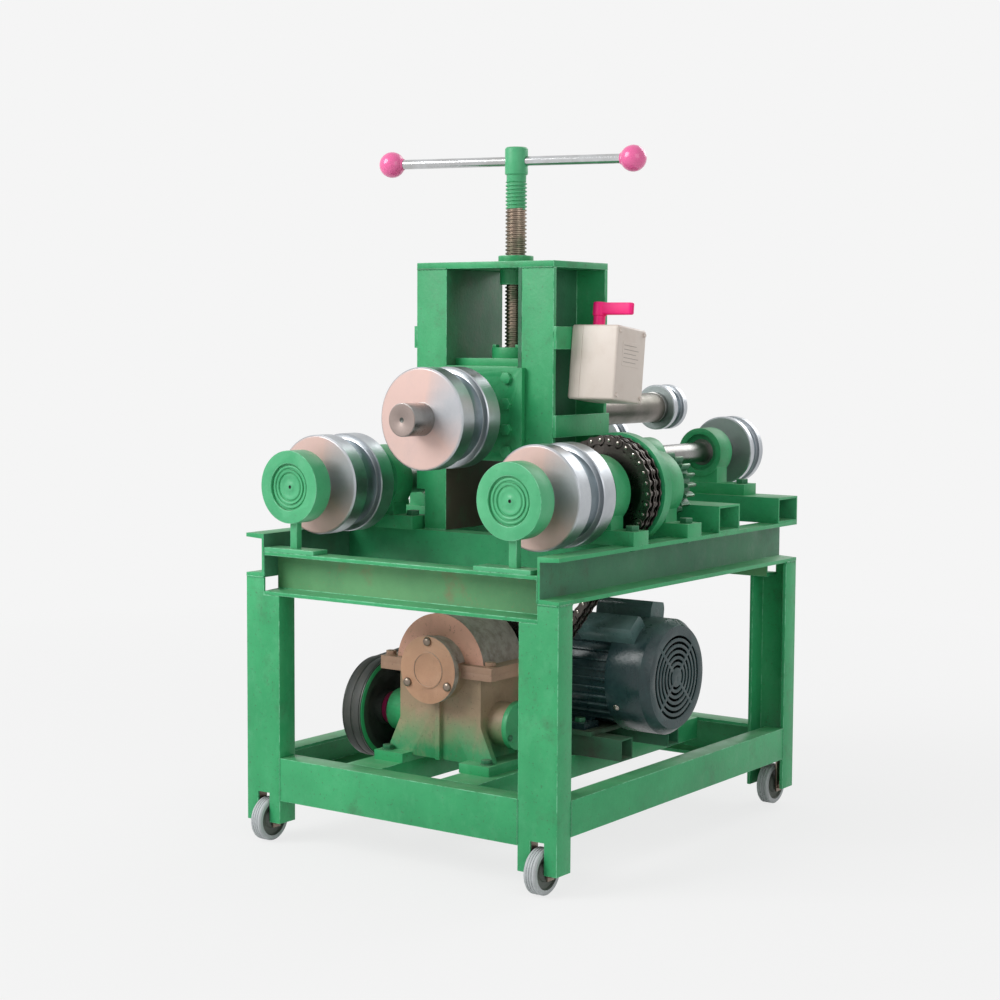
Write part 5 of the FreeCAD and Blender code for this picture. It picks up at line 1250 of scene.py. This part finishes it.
# ------------------------------------------------------------------------------------ chain
@dataclass
class ChainDrive:
    """The two-strand roller chain, its upper wheel and the plain wheel behind it."""

    body: str = "machine_frame"
    low: tuple[float, float] = (4.0, 340.0)
    high: tuple[float, float] = (244.0, 662.0)
    pitch_radius: float = 91.1
    pitch: float = 19.05
    middle_y: float = -145.5
    guard_y: float = -122.5
    strand: float = 9.75
    inner_gap: float = 6.0
    outer_gap: float = 7.85
    plate: float = 1.7
    plate_half: float = 8.4
    waist: float = 6.6
    roller: float = 5.9
    roller_half: float = 3.9
    pin: float = 2.9
    pin_end: float = 1.4

    def build(self) -> None:
        """Models the chain and dresses its wheel."""
        spots = self.pins()
        self.plates(spots)
        self.rollers(spots)
        # The plain wheel behind the chain takes the shade green: painted shade.
        guard = (GREEN_SHADE, lambda spot, way: spot.y > self.guard_y)
        dressing.dress("right_sprocket", CHAIN_STEEL, "right_spindle", 0.5, 1, [guard])

    def pins(self) -> list[Vector]:
        """Works out where the pins are, spaced evenly round the loop.

        Returns:
            The pins' places, across and up.
        """
        low, high, radius = Vector(self.low), Vector(self.high), self.pitch_radius
        length, bend = (high - low).length, math.pi * self.pitch_radius
        along = (high - low) / length
        across = Vector((along.y, -along.x))
        total = 2 * length + TURN * radius
        count = 2 * round(total / self.pitch / 2)
        spots = []
        for index in range(count):
            run = total * index / count
            if run < length:
                spot = low + across * radius + along * run
            elif run < length + bend:
                angle = (run - length) / radius
                spot = high + radius * (across * math.cos(angle) + along * math.sin(angle))
            elif run < 2 * length + bend:
                spot = high - across * radius - along * (run - length - bend)
            else:
                angle = (run - 2 * length - bend) / radius
                spot = low - radius * (across * math.cos(angle) + along * math.sin(angle))
            spots.append(spot)
        return spots

    def outline(self) -> list[Triple]:
        """Draws the waisted outline of a link plate between two pins, one pitch apart along X.

        Returns:
            The outline's points.
        """
        points = []
        for end, start, side in ((0.0, math.pi / 3, -1), (self.pitch, -2 * math.pi / 3, 1)):
            for step in range(9):
                angle = start + (TURN - 2 * math.pi / 3) * step / 8
                points.append((end + self.plate_half * math.cos(angle), 0, self.plate_half * math.sin(angle)))
            points.append((self.pitch / 2, 0, side * self.waist))
        return points

    def plates(self, spots: Sequence[Vector]) -> None:
        """Lays the inner and outer plates along the loop.

        Args:
            spots: The pins' places.
        """
        for name, first, gap, nodes in (("inner_links", 1, self.inner_gap, ()),
                                        ("outer_links", 0, self.outer_gap, ("drive_chain",))):
            places = []
            for index in range(first, len(spots), 2):
                spot, after = spots[index], spots[(index + 1) % len(spots)]
                turn = Matrix.Rotation(-math.atan2(after.y - spot.y, after.x - spot.x), 4, "Y")
                for side in BOTH:
                    for way in BOTH:
                        y = self.middle_y + side * self.strand + way * gap - self.plate / 2
                        places.append(Matrix.Translation((spot.x, y, spot.y)) @ turn)
            plate = Bench.prism("plate", self.outline(), (0, self.plate, 0))
            Bench.soften(plate, 0.25, 1, 60)
            dressing.wear(Bench.repeat(name, plate, places), CHAIN_STEEL, self.body, *nodes, smooth=30)

    def rollers(self, spots: Sequence[Vector]) -> None:
        """Puts a roller in each strand and a riveted pin through both at every joint.

        Args:
            spots: The pins' places.
        """
        half, reach = self.roller_half, self.strand + self.outer_gap + self.plate
        barrel = [(-half, self.roller - 0.6), (-half + 0.6, self.roller)]
        rivet = [(-reach - self.pin_end, 0), (-reach - self.pin_end, 1.6), (-reach - 0.9, self.pin),
                 (-reach + 1, self.pin)]
        for name, ends, steps, rows, finish in (
                ("chain_rollers", barrel, 14, (-self.strand, self.strand), CHAIN_STEEL),
                ("chain_pins", rivet, 12, (0,), PIN_STEEL)):
            places = [Matrix.Translation((spot.x, self.middle_y + row, spot.y))
                      for spot in spots for row in rows]
            piece = Bench.turned("link", ends + flipped(ends), Axis.Y, (0, 0, 0), steps)
            dressing.wear(Bench.repeat(name, piece, places), finish, self.body)


# ------------------------------------------------------------------------------------ gear case
@dataclass
class GearCase:
    """The worm gear case with its caps and bolts, and the belt drive at its side."""

    body: str = "machine_frame"
    centre: Triple = (4.0, -270.5, 340.0)
    worm_z: float = 240.0
    worm_end: float = 135.0
    cap_front: float = 97.0
    cap_back: float = 95.0
    screw_circle: float = 51.5
    worm_circle: float = 36.0
    foot_top: float = 178.0
    boss_x: float = 98.0
    boss_top: float = 300.0
    flange_x: float = 60.0
    flange_low: float = 18.0
    flange_top: float = 14.0
    cap_x: float = 100.0
    cap_y: float = 60.0
    bolt_x: float = 112.0
    hood_bolt_y: float = 60.0
    foot_bolt_y: float = 70.0
    pulley_x: float = -156.0

    def build(self) -> None:
        """Dresses the case and the belt drive, and models the rim ring, the collar and the bolts."""
        x, y, z = self.centre
        bosses = (GREEN, lambda spot, way: spot.z < self.foot_top + 1
                  or (x - spot.x > self.boss_x and spot.z < self.boss_top))
        flange = (FLANGE_TAN,
                  lambda spot, way: spot.z > z - self.flange_low and abs(spot.x - x) > self.flange_x)
        # The hood's front faces take the paler pink: its own paint, partly painted light.
        front = (HOOD_FACE_LIT, lambda spot, way: way.y < -0.7)
        foot = (FLANGE_TAN, lambda spot, way: spot.z < z + self.flange_top)
        green = (GREEN, lambda spot, way: abs(spot.x - x) > self.cap_x)
        dark = (IRON, lambda spot, way: spot.y > y + self.cap_y and abs(spot.x - x) < self.cap_x)
        edge = (HOOD_TAN, lambda spot, way: abs(way.y) < 0.5 and spot.y < y - self.cap_y)
        dressing.dress_all(self.body, ("reducer_base", TAN, 1.6, 3, [bosses, flange]),
                           ("reducer_hood", HOOD_TAN, 1.6, 3, [front, foot]),
                           ("reducer_caps", CAP_TAN, 1.0, 2, [green, dark, edge]))
        self.rings()
        self.bolts()
        dressing.dress_all("reducer_output", ("output_shaft", SHAFT, 0.4, 1),
                           ("output_wheels", CHAIN_STEEL, 0.4, 1))
        dressing.dress_all("worm", ("worm_shaft", SHAFT, 0.4, 1), ("big_pulley", IRON, 0.9))
        dressing.dress("belts", BELT, self.body, 0.8)

    def rings(self) -> None:
        """Models the painted rim ring of the large pulley and the collar that holds it on the worm shaft."""
        place = (self.pulley_x, self.centre[1], self.worm_z)
        rim = [(-0.4, 91.6), (0.9, 91.6), (1.5, 91.0), (1.5, 83.6), (0.9, 83.0), (-0.4, 83.0), (-0.4, 91.6)]
        dressing.wear(Bench.turned("pulley_rim", rim, Axis.X, place, 96), GREEN, "worm")
        collar = [(0.2, 20.6), (0.2, 29.0), (1.2, 30.0), (9.0, 30.0), (10.0, 29.0), (10.0, 20.6), (0.2, 20.6)]
        dressing.wear(Bench.turned("worm_collar", collar, Axis.X, place, 48), COLLAR, "worm")

    def bolts(self) -> None:
        """Models the hex bolts of the case and the domed screws of the caps."""
        x, y, z = self.centre
        places = []
        for side_x in BOTH:
            for side_y in BOTH:
                for inset, height in ((self.hood_bolt_y, z + 12), (self.foot_bolt_y, self.foot_top)):
                    places.append(Matrix.Translation((x + side_x * self.bolt_x, y + side_y * inset, height)))
        rusty = (FLANGE_TAN, lambda spot, way: spot.z > z)
        hexes = Bench.repeat("case_bolts", HexBolt(17.0, 7.0, 11.5).model(), places)
        dressing.wear(hexes, GREEN_DARK, self.body, "reducer_bolts", spots=[rusty])
        front, side = [], []
        for index in range(3):
            angle = math.radians(90 + 120 * index)
            u, v = math.cos(angle), math.sin(angle)
            for way, face in ((-1, y - self.cap_front), (1, y + self.cap_back)):
                front.append(basis((0, way, 0), (x + self.screw_circle * u, face, z + self.screw_circle * v)))
            side.append(basis((1, 0, 0), (x + self.worm_end, y + self.worm_circle * u,
                                          self.worm_z + self.worm_circle * v)))
        for name, across, head, spots, finish in (("cap_screws", 14.0, 6.5, front, DARK),
                                                  ("worm_cap_screws", 10.0, 4.5, side, GREEN_DARK)):
            screws = Bench.repeat(name, HexBolt(across, head, domed=True).model(), spots)
            dressing.wear(screws, finish, self.body)


# ------------------------------------------------------------------------------------ motor
@dataclass
class Motor:
    """The finned motor on its mount, with its fan cover and capacitor covers."""

    body: str = "machine_frame"
    axis: tuple[float, float] = (-5.5, 308.5)
    cover_radius: float = 106.5
    screw_x: float = 236.0
    screw_angle: float = 28.0
    pulley_x: float = -150.0

    def build(self) -> None:
        """Dresses the motor and models the screws of its fan cover."""
        # The motor mount wears painted shadow, and the capacitor covers wear painted sheen.
        dressing.dress_all(self.body, ("motor_mount", GREEN_SHADOWED, 1.0), ("motor_frame", TEAL, 0.5, 1),
                           ("motor_bells", TEAL, 1.2), ("fan_cover", TEAL, 0.7),
                           ("capacitor_covers", TEAL_PAINTED_SHEEN, 9.0, 5))
        pulley = (IRON, lambda spot, way: spot.x < self.pulley_x)
        dressing.dress("rotor_shaft", SHAFT, "motor_rotor", 0.4, 1, [pulley])
        places = []
        for index in range(4):
            angle = math.radians(self.screw_angle + 90 * index)
            out = Vector((0, math.cos(angle), math.sin(angle)))
            places.append(basis(out, Vector((self.screw_x, *self.axis)) + out * self.cover_radius))
        screws = Bench.repeat("cover_screws", HexBolt(11.0, 4.0, domed=True).model(), places)
        dressing.wear(screws, PIN_STEEL, self.body)


# ------------------------------------------------------------------------------------ switch
@dataclass
class SwitchBox:
    """The switch box on the tower: a moulded cover with a lid seam, and a lever on top."""

    body: str = "machine_frame"
    centre: Triple = (211.0, -104.5, 886.5)
    size: Triple = (100.0, 98.0, 135.0)
    lean: float = -6.5
    lid_depth: float = 25.0
    lid_x: float = 40.0
    seam: float = 0.5
    seam_depth: float = 0.9
    rule_pitch: float = 7.5
    rule_top: float = 34.0
    lever: tuple[float, float] = (-18.0, -8.0)
    lever_reach: float = 71.0

    def hang(self, piece: Piece, finish: Finish, *wearing: str, **looks: float) -> None:
        """Moves a piece into the box's own frame, which leans about X, and finishes it.

        Args:
            piece: The piece, modelled round the box's centre.
            finish: Its finish.
            *wearing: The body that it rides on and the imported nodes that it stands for.
            **looks: What wear also takes.
        """
        lean = Matrix.Rotation(math.radians(self.lean), 4, "X")
        Bench.place(piece, Matrix.Translation(self.centre) @ lean)
        dressing.wear(piece, finish, *wearing, **looks)

    def build(self) -> None:
        """Models the cover, its trim and the lever."""
        half = Vector(self.size) / 2
        cover = Bench.block("switch_box_cover", -half, half, 5.0, 5)
        left, over = -half.x + self.lid_depth, Vector((0, 5, 5))
        seam = Bench.block("seam", Vector((left, -half.y, -half.z)) - over,
                           Vector((left + self.seam, half.y, half.z)) + over, 0.05)
        into = Vector((0, self.seam_depth, self.seam_depth))
        core = Bench.block("core", Vector((left - 7, -half.y, -half.z)) + into,
                           Vector((left + 7, half.y, half.z)) - into, 4.2, 4)
        Bench.carve(seam, core)
        Bench.carve(cover, seam)
        self.hang(cover, IVORY, self.body, "switch_cover", smooth=40)
        lid = (IVORY, lambda spot, way: spot.x > self.centre[0] + self.lid_x)
        dressing.dress("switch_base", DARK, self.body, 0.5, 1, [lid])
        self.plate(half.x)
        self.handle(half.z)

    def plate(self, face: float) -> None:
        """Models the plain ruled field on the cover.

        Args:
            face: Where the cover's face is.
        """
        field = Bench.block("switch_field", (face - 0.6, -30, -4), (face + 0.5, 28, 40), 0.4)
        self.hang(field, IVORY, self.body)
        rules = []
        for index in range(5):
            z, reach = self.rule_top - self.rule_pitch * index, 24 if index % 2 else 16
            rules.append(Bench.block("rule", (face + 0.1, -26, z - 1.1), (face + 0.8, reach, z), 0.2))
        self.hang(Bench.join("switch_rules", rules), LABEL, self.body)

    def handle(self, top: float) -> None:
        """Models the lever: a round boss with a tapering arm.

        Args:
            top: The height of the cover's top.
        """
        x, y, reach = *self.lever, self.lever_reach
        boss = [(top + 0.4, 10), (top + 0.4, 11), (top + 20, 11), (top + 21, 13), (top + 43, 13),
                (top + 45, 11), (top + 45, 0)]
        pieces = [Bench.turned("boss", boss, Axis.Z, (x, y, 0), 40)]
        edge = [(x, 9.0), (x + reach - 5, 6.5), (x + reach, 3.0)]
        arm = [(u, y - v, top + 22.5) for u, v in edge] + [(u, y + v, top + 22.5) for u, v in reversed(edge)]
        pieces.append(Bench.prism("arm", arm, (0, 0, 21.5)))
        Bench.soften(pieces[-1], 2.4, 3)
        self.hang(Bench.join("pink_lever", pieces), PINK, "switch_handle", "switch_lever", smooth=40)


# ------------------------------------------------------------------------------------ studio
@dataclass
class Studio:
    """A pale floor, a white surround, soft lamps and the camera."""

    eye: Triple = (2.1351, -3.1418, 0.9376)
    azimuth: float = 35.43
    down: float = 4.76
    roll: float = 0.31
    lens: float = 71.0
    sensor: float = 36.0
    aim: Triple = (0, 0, 0.6)
    paper: float = 0.913
    light: float = 0.46
    floor_size: float = 400.0
    floor_low: float = -0.0006
    floor_grey: float = 0.8
    fade: tuple[float, ...] = (0.5, 3.2, 0.84, 1.0)
    lamps: tuple[tuple[str, Triple, float, float], ...] = (
        ("key", (-2.2, -3.6, 3.2), 2.6, 170.0),
        ("fill", (3.6, -1.6, 2.2), 2.4, 22.0),
        ("back", (0.6, 3.6, 3.0), 2.4, 60.0),
    )

    def build(self) -> None:
        """Sets up the world, the floor, the lamps and the camera."""
        self.world()
        self.floor()
        for name, spot, size, power in self.lamps:
            self.lamp(name, spot, size, power)
        self.camera()
        bpy.context.scene.view_settings.view_transform = "Standard"

    def seen(self, graph: Graph) -> Socket:
        """Makes a switch for rays that show the surround itself.

        Args:
            graph: The graph that gets it.

        Returns:
            1 where the camera, a mirror or glass looks straight at the surround, 0 elsewhere.
        """
        rays = graph.add("LightPath").outputs
        total = rays["Is Camera Ray"]
        for name in ("Is Glossy Ray", "Is Transmission Ray"):
            total = graph.sum(total, rays[name], "MAXIMUM")
        return total

    def world(self) -> None:
        """Makes the surround paper white to look at and dimmer as a light."""
        world = bpy.data.worlds.new("surround")
        bpy.context.scene.world = world
        graph = Graph(world)
        mix = graph.add("Mix", slots=[(0, self.seen(graph)), (2, self.light), (3, self.paper)])
        surround = graph.add("Background", Color=(1, 1, 1, 1), Strength=mix.outputs[0])
        graph.add("OutputWorld", Surface=surround.outputs[0])

    def floor(self) -> None:
        """Lays the floor, which keeps the machine's soft shadow and turns to plain paper farther out."""
        Bench.pick()
        bpy.ops.mesh.primitive_plane_add(size=self.floor_size, location=(0, 0, self.floor_low))
        floor = bpy.context.object
        floor.name = "studio_floor"
        material = bpy.data.materials.new("studio_floor")
        graph = Graph(material)
        matt = graph.add("BsdfDiffuse", Color=(*[self.floor_grey] * 3, 1)).outputs[0]
        glow = graph.add("Emission", Strength=self.paper).outputs[0]
        place = graph.add("NewGeometry").outputs["Position"]
        reach = graph.add("VectorMath", {"operation": "LENGTH"}, [(0, place)]).outputs["Value"]
        share = graph.sum(self.seen(graph), graph.window(reach, *self.fade))
        mix = graph.add("MixShader", slots=[(0, share), (1, matt), (2, glow)])
        graph.add("OutputMaterial", Surface=mix.outputs[0])
        floor.data.materials.append(material)

    def lamp(self, name: str, spot: Point, size: float, power: float) -> None:
        """Hangs one square soft lamp that looks at the machine.

        Args:
            name: The lamp's name.
            spot: Its place.
            size: Its width.
            power: Its power in watts.
        """
        light = bpy.data.lights.new(name, "AREA")
        light.shape = "SQUARE"
        light.size = size
        light.energy = power
        lamp = bpy.data.objects.new(name, light)
        lamp.location = spot
        lamp.rotation_euler = (Vector(self.aim) - Vector(spot)).to_track_quat("-Z", "Y").to_euler()
        lamp.visible_glossy = True
        bpy.context.scene.collection.objects.link(lamp)

    def camera(self) -> None:
        """Stands the camera at its place, turned, tipped down and slightly rolled."""
        turn, tip, roll = (math.radians(angle) for angle in (self.azimuth, self.down, self.roll))
        right = Vector((math.cos(turn), math.sin(turn), 0))
        ahead = Vector((-math.sin(turn) * math.cos(tip), math.cos(turn) * math.cos(tip), -math.sin(tip)))
        above = right.cross(ahead)
        right, above = (right * math.cos(roll) + above * math.sin(roll),
                        above * math.cos(roll) - right * math.sin(roll))
        matrix = Matrix((right, above, -ahead)).transposed().to_4x4()
        matrix.translation = self.eye
        data = bpy.data.cameras.new("view")
        data.lens = self.lens
        data.sensor_width = self.sensor
        camera = bpy.data.objects.new("view", data)
        camera.matrix_world = matrix
        bpy.context.scene.collection.objects.link(camera)
        bpy.context.scene.camera = camera


def main() -> None:
    """Builds the sub-assemblies in order, then the studio."""
    logging.basicConfig(level=logging.INFO, format="%(name)s: %(message)s")
    for part in (Stand(), Housings(), Spindles(), Tower(), PressureScrew(), ChainDrive(), GearCase(), Motor(),
                 SwitchBox()):
        part.build()
    Studio().build()
    LOG.info("%d pieces are dressed", dressing.count)


if __name__ == "__main__":
    main()
